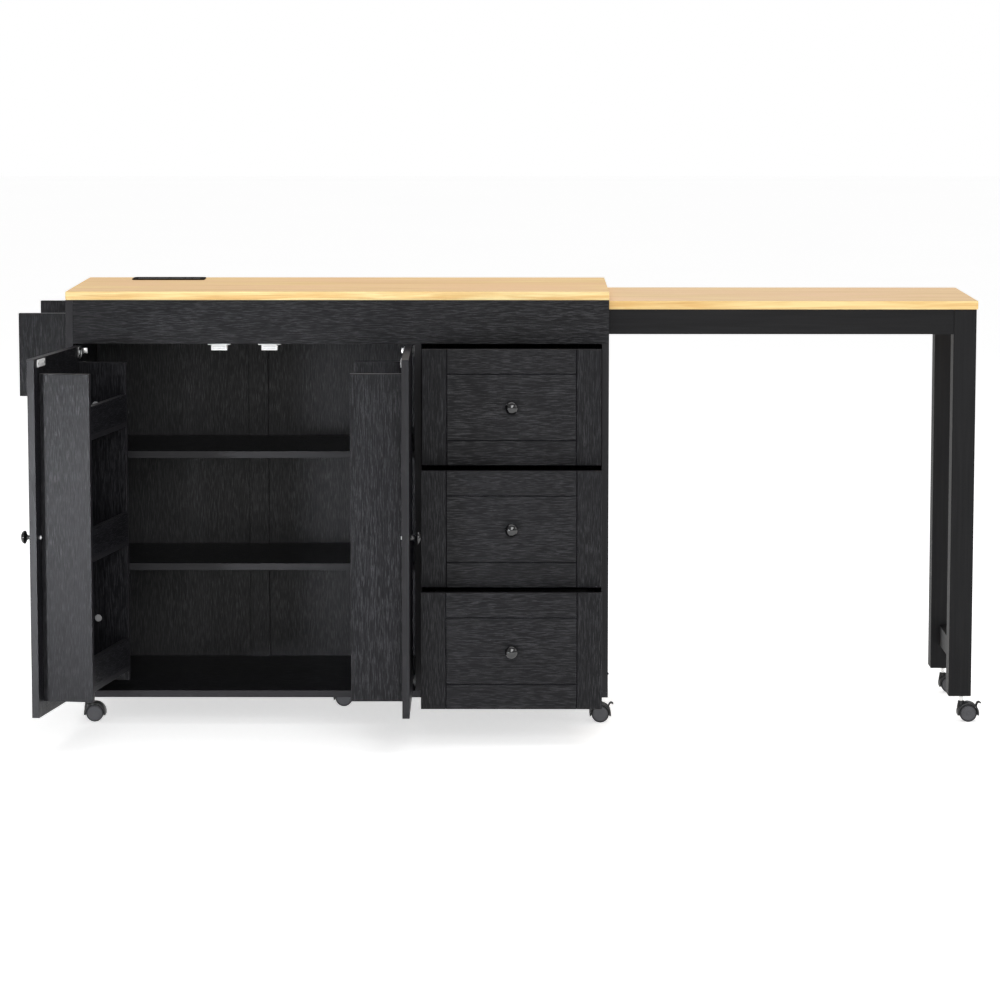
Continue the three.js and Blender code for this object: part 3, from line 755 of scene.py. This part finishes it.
def catches():
    """White housings: a flange with two screws, the magnet's body and two pole plates in its front."""
    for label in SIDES:
        lo, hi = box(f"catch_{label}")
        middle = (lo.x + hi.x) / 2
        screw_y = (lo.y + hi.y) / 2
        flange = prism(rounded(lo.x, lo.y, hi.x, hi.y - 4, 3.5), "z", hi.z - CATCH_FLANGE_T, hi.z, 0.6)
        body_line = rounded(middle - CATCH_BODY_HALF, lo.y, middle + CATCH_BODY_HALF, hi.y, 2.2)
        body = prism(body_line, "z", lo.z, hi.z - 0.1, 0.8, 3)
        shell = combined("UNION", body, flange)
        half = POLE_HALF + 0.2
        for z in (lo.z + up for up in POLE_UP):
            slot = cuboid((middle - half, lo.y - 1, z), (middle + half, lo.y + 1.4, z + 1.5))
            shell = combined("DIFFERENCE", shell, slot)
        node = f"catch_{label}"
        piece(f"{node}_housing", shell, "cabinet", WHITE, "white_plastic", [node], smooth=35)
        plates = [
            cuboid((middle - POLE_HALF, lo.y + 0.7, z + 0.1), (middle + POLE_HALF, lo.y + 4, z + 1.4))
            for z in (lo.z + up for up in POLE_UP)
        ]
        piece(f"{node}_pole_plates", merged(*plates), "cabinet", ZINC, "hinge_steel")
        places = [(middle + out * CATCH_SCREW_OUT, screw_y) for out in (-1, 1)]
        heads = [screw_head("z", place, hi.z - CATCH_FLANGE_T, -1, 2.6, 1) for place in places]
        fitting(f"{node}_screws", merged(*heads), "cabinet")


# ---- side rack ----

SIDE_TRAY_T = 12
SIDE_CAM_IN = 34
SIDE_CAM_FROM_END = 40


def side_rack():
    """The tray board, the guard rail that stands on it, and the cam discs on the ends."""
    lo, hi = box("side_rack_tray")
    tray = (lo.x, lo.y, lo.z), (hi.x, hi.y, lo.z + SIDE_TRAY_T)
    board("side_rack_tray_board", *tray, "y", "cabinet", stands_for=["side_rack_tray"])
    guard = (lo.x, lo.y, lo.z + SIDE_TRAY_T + 0.05), (lo.x + SIDE_TRAY_T, hi.y, hi.z)
    board("side_rack_guard_board", *guard, "y", "cabinet", stands_for=["side_rack_tray"])
    for node, face, out in (("side_rack_front_end", 1, 1), ("side_rack_rear_end", 0, -1)):
        corners = box(node)
        x, y = corners[1].x - SIDE_CAM_IN, corners[face].y
        heights = (corners[0].z + SIDE_CAM_FROM_END, corners[1].z - SIDE_CAM_FROM_END)
        heads = [cam_disc("y", (x, z), y, out) for z in heights]
        fitting(f"{node}_cams", merged(*heads), "cabinet", GREY_CAP)


# ---- framed fronts ----

FRAME_W = 51.5
GROOVE = 1.25
JOINT = 0.15


def member(name, lo, hi, grain, body, front, turn, stands_for):
    """One board of a framed front. Its front edges are chamfered deeper where it meets another board."""
    bm = cuboid(lo, hi)
    (x0, z0), (x1, z1) = front

    def is_seam(edge):
        a, b = (v.co for v in edge.verts)
        middle = (a + b) / 2
        on_front = abs(middle.y - lo[1]) < 1e-3
        outer = min(abs(middle.x - x0), abs(middle.x - x1), abs(middle.z - z0), abs(middle.z - z1)) < 1e-3
        return on_front and not outer

    seams = [e for e in bm.edges if is_seam(e)]
    bmesh.ops.bevel(bm, geom=seams, offset=GROOVE, segments=1, affect="EDGES")
    sharp = [e for e in bm.edges if e.is_manifold and e.calc_face_angle() > 1.2]
    bmesh.ops.bevel(bm, geom=sharp, offset=0.5, segments=2, profile=0.5, affect="EDGES")
    bm.normal_update()
    for f in bm.faces:
        f.material_index = 0 if abs(f.normal.y) > 0.6 else 1
    set_grain(bm, grain)
    piece(name, bm, body, BLACK, "black_board", stands_for=stands_for, turn=turn)


def framed_front(prefix, body, lo, hi, panel_grain, stands_for, turn=None):
    """Two full-height stiles, two rails between them and a flush panel, with fine grooves at the joints."""
    front = (lo[0], lo[2]), (hi[0], hi[2])
    y0, y1 = lo[1], hi[1]
    left, right = lo[0] + FRAME_W, hi[0] - FRAME_W
    low, high = lo[2] + FRAME_W, hi[2] - FRAME_W
    members = {
        "stile_left": ((lo[0], lo[2]), (left, hi[2]), "z"),
        "stile_right": ((right, lo[2]), (hi[0], hi[2]), "z"),
        "rail_bottom": ((left + JOINT, lo[2]), (right - JOINT, low), "x"),
        "rail_top": ((left + JOINT, high), (right - JOINT, hi[2]), "x"),
        "panel_insert": ((left + JOINT, low + JOINT), (right - JOINT, high - JOINT), panel_grain),
    }
    for label, ((x0, z0), (x1, z1), grain) in members.items():
        member(f"{prefix}_{label}", (x0, y0, z0), (x1, y1, z1), grain, body, front, turn, stands_for)


# ---- knobs ----

KNOB_NECK = [(5.4, 3.0), (4.3, 5.6), (4.4, 9.0), (5.6, 12.2)]
KNOB_HEAD = [(9.6, 14.4), (12.9, 15.9), (13.5, 17.6), (12.6, 20.0), (9.4, 22.7), (5.0, 24.4)]


def knob(name, body, at, node, turn=None):
    """A turned knob that stands out along -Y: a foot, a waist and a domed head."""
    profile = [(0, 0), (8.0, 0), (8.2, 0.9), (7.4, 1.9)]
    profile += smooth_line(KNOB_NECK + KNOB_HEAD, 5)
    profile += [(2.4, 24.9), (0, 25)]
    bm = lathe(profile, "z", segments=56)
    bm.transform(Matrix.Translation(at) @ Matrix.Rotation(math.pi / 2, 4, "X"))
    piece(name, bm, body, GLOSS, "knob_black", [node], smooth=50, turn=turn)


# ---- doors ----

BOARD_T = 15
PIVOT_IN = 5
DOOR_FROM = 3
DOOR_TO = 356
KNOB_FROM_EDGE = 27
RACK_NEAR, RACK_FAR = 36, 324
RACK_DEPTH = 104.5
RACK_BOARD = 12
TRAY_Z = (126, 392, 641)
GUARD_H = 56
CAM_Z = (236, 686)
CAM_FROM_DOOR = 39
STRIKE = {"r": 309, "z": 797, "half_length": 27, "half_height": 7.5}
CUP_R = 13
CUP_CENTRE = 24.5
WING_SCREW_UP = 8.7
ARM_LINE = [(2.2, 34), (6.5, 34), (8.5, 31), (9.5, 12), (27.6, 8.5)]
ARM_LINE += [(28.0, 1.5), (25.5, 0.2), (12, 1.2), (3.4, 6), (2.2, 10)]


def hung(label):
    """A door's body, the matrix that opens it, a span in X measured from its hinge edge, and its side."""
    side = SIDES[label]
    joint = JOINTS[f"door_{label}_hinge"]
    at = pivot(f"door_{label}_hinge")
    opened = math.radians(-joint["range_deg"][0])
    swing = Matrix.Rotation(opened, 4, Vector(joint["axis"]))
    turn = Matrix.Translation(at) @ swing @ Matrix.Translation(-at)

    def span(r0, r1):
        return sorted(at.x + side * (r - PIVOT_IN) for r in (r0, r1))

    return f"door_{label}", turn, span, side


def door(label):
    body, turn, span, side = hung(label)
    lo, hi = box(f"{body}_panel")
    front = CABINET_FRONT
    x0, x1 = span(DOOR_FROM, DOOR_TO)
    framed_front(body, body, (x0, front, lo.z), (x1, front + BOARD_T, hi.z), "z", [f"{body}_panel"], turn)
    knob_z = middle_of(f"{body}_knob")[2]
    knob_x = span(DOOR_TO - KNOB_FROM_EDGE, DOOR_TO)[0 if side > 0 else 1]
    knob(f"{body}_round_knob", body, (knob_x, front - 0.3, knob_z), f"{body}_knob", turn)

    inner = front + BOARD_T
    screw = screw_head("y", (knob_x, knob_z), inner, 1, 4.2, 2.2)
    fitting(f"{body}_knob_screw", screw, body, BRIGHT_ZINC, turn=turn)
    strike(body, turn, span, inner)
    door_rack(body, turn, span, inner)
    for where in ("upper", "lower"):
        hinge_cup(label, where, body, turn, span, inner)


def strike(body, turn, span, inner):
    """The steel plate that the catch holds, with its two screws."""
    x0, x1 = span(STRIKE["r"] - STRIKE["half_length"], STRIKE["r"] + STRIKE["half_length"])
    z0, z1 = STRIKE["z"] - STRIKE["half_height"], STRIKE["z"] + STRIKE["half_height"]
    plate = prism(rounded(x0, z0, x1, z1, 3), "y", inner, inner + 1.4, 0.3)
    heads = [screw_head("y", (x, STRIKE["z"]), inner + 1.4, 1, 2.8, 0.9) for x in (x0 + 7, x1 - 7)]
    fitting(f"{body}_strike_plate", plate, body, BRIGHT_ZINC, turn=turn)
    fitting(f"{body}_strike_screws", merged(*heads), body, NICKEL, turn=turn)


def door_rack(body, turn, span, inner):
    """Two end boards, three trays and three guard rails, joined with cams."""
    stands_for = [f"{body}_rack"]
    lo, hi = box(f"{body}_rack")
    y0, y1 = inner + 0.3, inner + 0.3 + RACK_DEPTH
    rest = {"stands_for": stands_for, "turn": turn}
    ends = {"hinge_end": (RACK_NEAR, RACK_NEAR + RACK_BOARD), "free_end": (RACK_FAR - RACK_BOARD, RACK_FAR)}
    for label, (r0, r1) in ends.items():
        x0, x1 = span(r0, r1)
        board(f"{body}_rack_{label}", (x0, y0, lo.z), (x1, y1, hi.z), "z", body, **rest)
        face_r, out_r = (r1, r1 + 1) if label == "hinge_end" else (r0, r0 - 1)
        face = span(face_r, face_r)[0]
        out = 1 if span(out_r, out_r)[0] > face else -1
        heads = [cam_disc("x", (y0 + CAM_FROM_DOOR, z), face, out) for z in CAM_Z]
        fitting(f"{body}_rack_{label}_cams", merged(*heads), body, GREY_CAP, turn=turn)
    x0, x1 = span(RACK_NEAR + RACK_BOARD, RACK_FAR - RACK_BOARD)
    x0, x1 = x0 + 0.1, x1 - 0.1
    for label, z in zip(("bottom", "middle", "top"), TRAY_Z):
        tray = (x0, y0, z), (x1, y1, z + RACK_BOARD)
        board(f"{body}_tray_{label}", *tray, "x", body, **rest)
        guard = (x0, y1 - RACK_BOARD, z + RACK_BOARD + 0.05), (x1, y1, z + RACK_BOARD + GUARD_H)
        board(f"{body}_guard_{label}", *guard, "x", body, **rest)


def hinge_cup(label, where, body, turn, span, inner):
    """The cup sunk in the door, its flange and the link that comes out of it."""
    z = middle_of(f"hinge_{label}_{where}")[2]
    x = span(CUP_CENTRE, CUP_CENTRE)[0]
    rim = [(0, -10.5), (CUP_R - 1.5, -10.5), (CUP_R - 1.2, 0), (CUP_R + 0.4, 0), (CUP_R + 0.4, 0.9)]
    rim += [(CUP_R - 2.2, 1.1), (CUP_R - 3, 0.2), (CUP_R - 3.4, -9.3), (0, -9.3)]
    cup = lathe(rim, "y", (x, inner, z), 48)
    wing_out = 1 if span(40, 40)[0] > x else -1
    wing_x = sorted((x + wing_out * 4, x + wing_out * 13.5))
    plate = prism(rounded(wing_x[0], z - 11.8, wing_x[1], z + 11.8, 3.5), "y", inner - 0.2, inner + 1.2, 0.3)
    opening = rod("y", CUP_R - 2.6, (x, z), inner - 12, inner + 6, ease=0, segments=40)
    plate = combined("DIFFERENCE", plate, opening)
    fitting(f"hinge_{label}_{where}_cup", cup, body, NICKEL, turn=turn)
    fitting(f"hinge_{label}_{where}_cup_flange", plate, body, NICKEL, turn=turn)
    link = eased((x - 5, inner - 8.5, z - 4.5), (x + 5, inner + 1.8, z + 4.5), 1.2)
    fitting(f"hinge_{label}_{where}_link", link, body, turn=turn)


def hinge_arms():
    """The fixed half of each hinge: a winged plate on the panel, the folded arm over it and its screws."""
    for label, side in SIDES.items():
        for where in ("upper", "lower"):
            node = f"hinge_{label}_{where}"
            lo, hi = box(node)
            wall = lo.x if side > 0 else hi.x
            z = (lo.z + hi.z) / 2

            def across(a, b):
                return sorted((wall + side * a, wall + side * b))

            x0, x1 = across(0, 2)
            plate = prism(rounded(lo.y + 6, lo.z, lo.y + 20, hi.z, 3), "x", x0, x1, 0.3)
            spine = prism(rounded(lo.y + 2, z - 6, hi.y, z + 6, 3), "x", x0, x1, 0.3)
            plate = combined("UNION", plate, spine)
            fitting(f"{node}_plate", plate, "cabinet", stands_for=[node])
            outline = [(wall + side * a, lo.y + b) for a, b in ARM_LINE]
            arm = prism(outline, "z", z - 6, z + 6, 1.0, 3)
            slots = [rod("x", 2.6, (lo.y + 27, z), *across(6, 12), ease=0, segments=24)]
            arm = combined("DIFFERENCE", arm, *slots)
            fitting(f"{node}_arm", arm, "cabinet", NICKEL, [node])
            places = [(lo.y + 13, z + up * WING_SCREW_UP) for up in (-1, 1)]
            heads = [screw_head("x", place, wall + side * 2, side, 2.9, 1.3) for place in places]
            heads.append(screw_head("x", (lo.y + 27, z), wall + side * 5.6, side, 2.3, 1.2))
            fitting(f"{node}_screws", merged(*heads), "cabinet")


# ---- drawers ----

BOX_WALL = 12
BOX_BASE = 6
RUNNER_GAP = 13
RUNNER_T = 1.2
CHANNEL_H = 24
CHANNEL_LIP = 9
ROLLER_R = 7.2
ROLLER_REACH = (1.5, 8)


def drawer(label):
    body = f"drawer_{label}"
    lo, hi = box(f"{body}_front")
    framed_front(body, body, lo, hi, "x", [f"{body}_front"])
    knob_x, _, knob_z = middle_of(f"{body}_knob")
    at = knob_x, box(f"{body}_knob")[1].y, knob_z
    knob(f"{body}_round_knob", body, at, f"{body}_knob")

    lo, hi = box(f"{body}_box")
    rest = {"materials": FOIL, "slot": "drawer_box_board", "stands_for": [f"{body}_box"]}
    for side, x0 in (("left", lo.x), ("right", hi.x - BOX_WALL)):
        board(f"{body}_side_{side}", (x0, lo.y, lo.z), (x0 + BOX_WALL, hi.y, hi.z), "y", body, **rest)
    x0, x1 = lo.x + BOX_WALL + 0.1, hi.x - BOX_WALL - 0.1
    for part, y0 in (("inner_front", lo.y), ("back", hi.y - BOX_WALL)):
        board(f"{body}_{part}", (x0, y0, lo.z), (x1, y0 + BOX_WALL, hi.z), "x", body, **rest)
    y0, y1 = lo.y + BOX_WALL + 0.1, hi.y - BOX_WALL - 0.1
    board(f"{body}_base", (x0, y0, lo.z + 0.2), (x1, y1, lo.z + BOX_BASE), "y", body, ease=0.3, **rest)
    screw = screw_head("y", (knob_x, knob_z), lo.y + BOX_WALL, 1, 4.2, 1.8)
    fitting(f"{body}_knob_screw", screw, body, NICKEL)
    runners(label, lo, hi)


def runners(label, lo, hi):
    """Roller runners: a channel on each wall of the bay and an angle under each side of the drawer box."""
    y_wall = CABINET_FRONT + BOARD_T + 4
    length = hi.y - lo.y - 6
    for side, edge, out in (("left", lo.x, -1), ("right", hi.x, 1)):
        wall = edge + out * (RUNNER_GAP - 0.1)

        def strip(x_from, x_to, z0, z1, y0):
            x0, x1 = sorted((x_from, x_to))
            return eased((x0, y0, z0), (x1, y0 + length, z1), 0.25, 1)

        z = lo.z - 2
        angle = merged(
            strip(edge, edge + out * RUNNER_T, z - 1, z + 20, lo.y + 2),
            strip(edge - out * 9, edge + out * 0.05, z - 1 - RUNNER_T, z - 1, lo.y + 2),
            strip(edge + out * RUNNER_T, edge + out * 7.5, z + 17.4, z + 17.4 + RUNNER_T, lo.y + 2),
        )
        name = f"drawer_{label}_runner_{side}"
        piece(name, angle, f"drawer_{label}", RUNNER_BLACK, "hinge_steel")
        lip = wall - out * CHANNEL_LIP
        channel = merged(
            strip(wall - out * RUNNER_T, wall, z, z + CHANNEL_H, y_wall),
            strip(lip, wall - out * RUNNER_T, z, z + RUNNER_T, y_wall),
            strip(lip, wall - out * RUNNER_T, z + CHANNEL_H - RUNNER_T, z + CHANNEL_H, y_wall),
        )
        piece(f"bay_channel_{label}_{side}", channel, "cabinet", RUNNER_BLACK, "hinge_steel")
        x0, x1 = sorted(wall - out * reach for reach in ROLLER_REACH)
        roller = rod("x", ROLLER_R, (y_wall + 9, z + 9.6), x0, x1, 1.2, 32)
        piece(f"bay_roller_{label}_{side}", roller, "cabinet", WHITE, "white_plastic", smooth=40)
        x0, x1 = sorted(edge + out * reach for reach in ROLLER_REACH)
        roller = rod("x", ROLLER_R, (lo.y + length - 6, z + 9.2), x0, x1, 1.2, 32)
        piece(f"drawer_{label}_roller_{side}", roller, f"drawer_{label}", WHITE, "white_plastic", smooth=40)


# ---- table ----


def table():
    node_board("table_top", "x", "table", materials=TABLE_WOOD, slot="natural_wood", ease=1.4)
    lacquer = {"materials": LACQUER, "slot": "black_smooth"}
    for node in ("table_apron_front", "table_apron_rear"):
        node_board(node, "x", "table", **lacquer)
    for node in ("table_leg_front", "table_leg_rear"):
        node_board(node, "z", "table", ease=1.6, **lacquer)
    node_board("table_stretcher", "y", "table", **lacquer)
    heads = []
    for node, face, out in (("table_apron_front", 1, 1), ("table_apron_rear", 0, -1)):
        corners = box(node)
        for z in (corners[0].z + 14, corners[1].z - 14):
            heads.append(screw_head("y", (corners[1].x - 12, z), corners[face].y, out, 4.2, 1.6))
    fitting("table_apron_screws", merged(*heads), "table")


def worktop():
    """The worktop board, cut through for the outlet's tray."""
    lo, hi = box("countertop")
    outlet_lo, outlet_hi = box("outlet_housing")
    bm = eased(lo, hi, 1.4)
    x0, x1 = outlet_lo.x + OUTLET_BODY_INSET - 1, outlet_hi.x - OUTLET_BODY_INSET + 1
    y0, y1 = outlet_lo.y + OUTLET_BODY_DEPTH[0] - 1, outlet_lo.y + OUTLET_BODY_DEPTH[1] + 1
    bm = combined("DIFFERENCE", bm, cuboid((x0, y0, lo.z - 2), (x1, y1, hi.z + 2)))
    band_edges(bm, lo, hi)
    set_grain(bm, "x")
    piece("worktop_board", bm, "cabinet", WOOD, "natural_wood", stands_for=["countertop"])


# ---- casters ----

CASTERS = ("front_left", "front_right", "rear_left", "rear_right", "centre", "table_front", "table_rear")
WHEEL_R = 18.5
WHEEL_INNER = 3.6
WHEEL_OUTER = 14.2
HOOD_R = 23
HOOD_POCKET_R = 19.6
HOOD_HALF_W = 16
WEB_HALF_W = 2.6
HOOD_FROM, HOOD_TO = -12, 192
TRAIL = 14.5
LEVER_HALF_W = 7
SLOT_FROM, SLOT_TO = 24, 62
SLOT_INNER_R, SLOT_OUTER_R = 19.1, 26
AXLE_R = 2.8
AXLE_HALF = 11.2
LEVER_LINE = [(17.3, 13.5), (18.3, 17.4), (20.0, 21.0), (23.0, 22.8), (25.5, 22.1), (27.2, 20.4)]


def hood_mesh(slotted):
    """The hood about its wheel centre: a shell over both wheels, a web between them and the stem's boss."""
    ease = 1.2
    section = [(0, -HOOD_HALF_W), (HOOD_R - ease, -HOOD_HALF_W), (HOOD_R - 0.35, -HOOD_HALF_W + 0.35)]
    section += [(HOOD_R, -HOOD_HALF_W + ease), (HOOD_R, HOOD_HALF_W - ease)]
    section += [(HOOD_R - 0.35, HOOD_HALF_W - 0.35), (HOOD_R - ease, HOOD_HALF_W), (0, HOOD_HALF_W)]
    shell = lathe(section, "z", segments=64, first=HOOD_FROM, last=HOOD_TO)
    shell.transform(Matrix.Rotation(math.pi / 2, 4, "X"))
    boss_line = [(9.0, 4), (8.7, 12), (7.7, 18), (7.0, 22)]
    boss = lathe(
        [(0, -1), (8.2, -1), (8.9, 0.5), *smooth_line(boss_line, 4), (6.9, 24.6), (6.3, 25.4), (0, 25.4)],
        "z", (-TRAIL, 0, 0), 40,
    )
    body = combined("UNION", shell, boss)
    pockets = []
    for side in (-1, 1):
        y0, y1 = sorted((side * WEB_HALF_W, side * (HOOD_HALF_W + 2)))
        pockets.append(rod("y", HOOD_POCKET_R, (0, 0), y0, y1, ease=0, segments=64))
    body = combined("DIFFERENCE", body, *pockets)
    hub = rod("y", 6.6, (0, 0), -WEB_HALF_W, WEB_HALF_W, ease=0.3, segments=32)
    body = combined("UNION", body, hub)
    body = combined("DIFFERENCE", body, rod("y", 3.4, (0, 0), -5, 5, ease=0, segments=32))
    if slotted:
        degrees = range(SLOT_FROM, SLOT_TO + 1, 2)
        polar = [(SLOT_INNER_R, a) for a in degrees] + [(SLOT_OUTER_R, a) for a in reversed(degrees)]
        outline = [(r * math.cos(math.radians(a)), r * math.sin(math.radians(a))) for r, a in polar]
        body = combined("DIFFERENCE", body, prism(outline, "y", -LEVER_HALF_W - 0.5, LEVER_HALF_W + 0.5))
    return body


def lever_mesh():
    """The foot lever: a tab on a pivot that rises through the hood and hooks over."""
    line = [Vector(p) for p in smooth_line(LEVER_LINE, 4)]
    upper, lower = [], []
    for i, point in enumerate(line):
        along = (line[min(i + 1, len(line) - 1)] - line[max(i - 1, 0)]).normalized()
        across = Vector((-along.y, along.x)) * 1.4
        upper.append(tuple(point + across))
        lower.append(tuple(point - across))
    tab = prism(upper + lower[::-1], "y", -LEVER_HALF_W, LEVER_HALF_W, 0.7, 3)
    pivot_rod = rod("y", 2.2, LEVER_LINE[0], -LEVER_HALF_W, LEVER_HALF_W, 0.3, 24)
    tab = combined("UNION", tab, pivot_rod)
    grips = [
        cuboid((x, -LEVER_HALF_W + 1.5, 23.3), (x + 0.7, LEVER_HALF_W - 1.5, 25)) for x in (21.6, 23.0, 24.4)
    ]
    return combined("DIFFERENCE", tab, *grips)


def wheel_mesh(side):
    """One of the twin wheels: a black tread with a lip round a shallow, slightly domed grey disc."""
    radius, face = WHEEL_R, WHEEL_OUTER
    tread = [(0, 11.5), (3, 11.5), (3, WHEEL_INNER), (radius - 1.3, WHEEL_INNER)]
    tread += [(radius - 0.3, WHEEL_INNER + 0.4), (radius, WHEEL_INNER + 1.2), (radius, face - 1.6)]
    tread += [(radius - 0.3, face - 0.6), (radius - 0.9, face - 0.1), (radius - 1.5, face)]
    tread += [(radius - 2.0, face - 0.3), (radius - 2.4, face - 0.8)]
    shoulder = [(radius - 2.7, face - 1.5), (radius - 3.4, face - 0.8), (13.4, face - 0.42)]
    disc = smooth_line([*shoulder, (9, face - 0.25), (4.4, face - 0.15)], 4)
    cap = [(4.1, face - 0.5), (3.7, face - 0.5), (3.4, face - 0.1), (2.2, face), (0, face)]
    bm = lathe(tread + disc + cap, "z", segments=72)
    for f in bm.faces:
        centre = f.calc_center_median()
        outside = centre.z > face - 1.7 and centre.to_2d().length < radius - 2.2
        f.material_index = 1 if outside else 0
    bm.transform(Matrix.Rotation(-side * math.pi / 2, 4, "X"))
    return bm


def casters():
    plain, slotted = hood_mesh(False), hood_mesh(True)
    lever = lever_mesh()
    for name in CASTERS:
        centre = pivot(f"roll_{name}")
        caster, wheels = f"caster_{name}", f"wheels_{name}"
        node = f"caster_{name}_hood"
        braked = f"brake_{name}" in JOINTS
        hood = copied(slotted if braked else plain, centre)
        piece(f"{caster}_fork", hood, caster, HOOD_NYLON, "caster_plastic", [node], smooth=32)
        top = box(node)[1].z
        x, y = centre.x - TRAIL, centre.y
        stem = [(0, centre.z + 22), (3.9, centre.z + 22), (3.9, top - 6.4), (4.6, top - 6), (4.6, top - 3.4)]
        stem += [(6.4, top - 3.2), (6.8, top - 2.7), (6.8, top - 0.5), (6.5, top), (0, top)]
        fitting(f"{caster}_stem", lathe(stem, "z", (x, y, 0), 32), caster, NICKEL)
        for label, side in (("front", -1), ("rear", 1)):
            wheel = wheel_mesh(side)
            wheel.transform(Matrix.Translation(centre))
            piece(
                f"{caster}_wheel_{label}", wheel, wheels, [TREAD, DISC], "wheel_plastic",
                [f"{caster}_wheels"], smooth=35,
            )
        ends = centre.y - AXLE_HALF, centre.y + AXLE_HALF
        axle = rod("y", AXLE_R, (centre.x, centre.z), *ends, 0.4, 24)
        fitting(f"{caster}_axle", axle, wheels)
        if braked:
            piece(
                f"{caster}_foot_lever", copied(lever, centre), f"brake_{name}", HOOD_NYLON, "caster_plastic",
                [f"{caster}_brake"], smooth=40,
            )
    for bm in (plain, slotted, lever):
        bm.free()


LEG_STOP_Z = 101.5


def bumpers():
    """Two small stops on the cabinet's right side that the table's legs meet when it is pushed in."""
    face = box("right_side_panel")[1].x
    for label in ("front", "rear"):
        middle = middle_of(f"table_leg_{label}")[1]
        profile = [(0, 0), (2.6, 0), *smooth_line([(2.6, 0.5), (2.4, 2.0), (1.6, 2.7)], 4), (0, 3.0)]
        bm = lathe(profile, "x", (face, middle, LEG_STOP_Z), 32)
        piece(f"leg_stop_{label}", bm, "cabinet", RUBBER, "outlet_plastic", smooth=50)


FLOOR_HALF = 30
FLOOR_DROP = 0.0003


def studio_floor():
    """A large flat floor, a hair under the wheels."""
    bm = bmesh.new()
    bmesh.ops.create_grid(bm, x_segments=1, y_segments=1, size=FLOOR_HALF)
    mesh = bpy.data.meshes.new("studio_floor")
    bm.to_mesh(mesh)
    bm.free()
    mesh.materials.append(pale_floor())
    floor = bpy.data.objects.new("studio_floor", mesh)
    floor.location = (0, 0, -FLOOR_DROP)
    bpy.context.scene.collection.objects.link(floor)


# ---- assembly ----

studio_floor()
worktop()
carcass()
back()
outlet()
catches()
side_rack()
for label in SIDES:
    door(label)
hinge_arms()
for label in DRAWERS:
    drawer(label)
table()
casters()
bumpers()
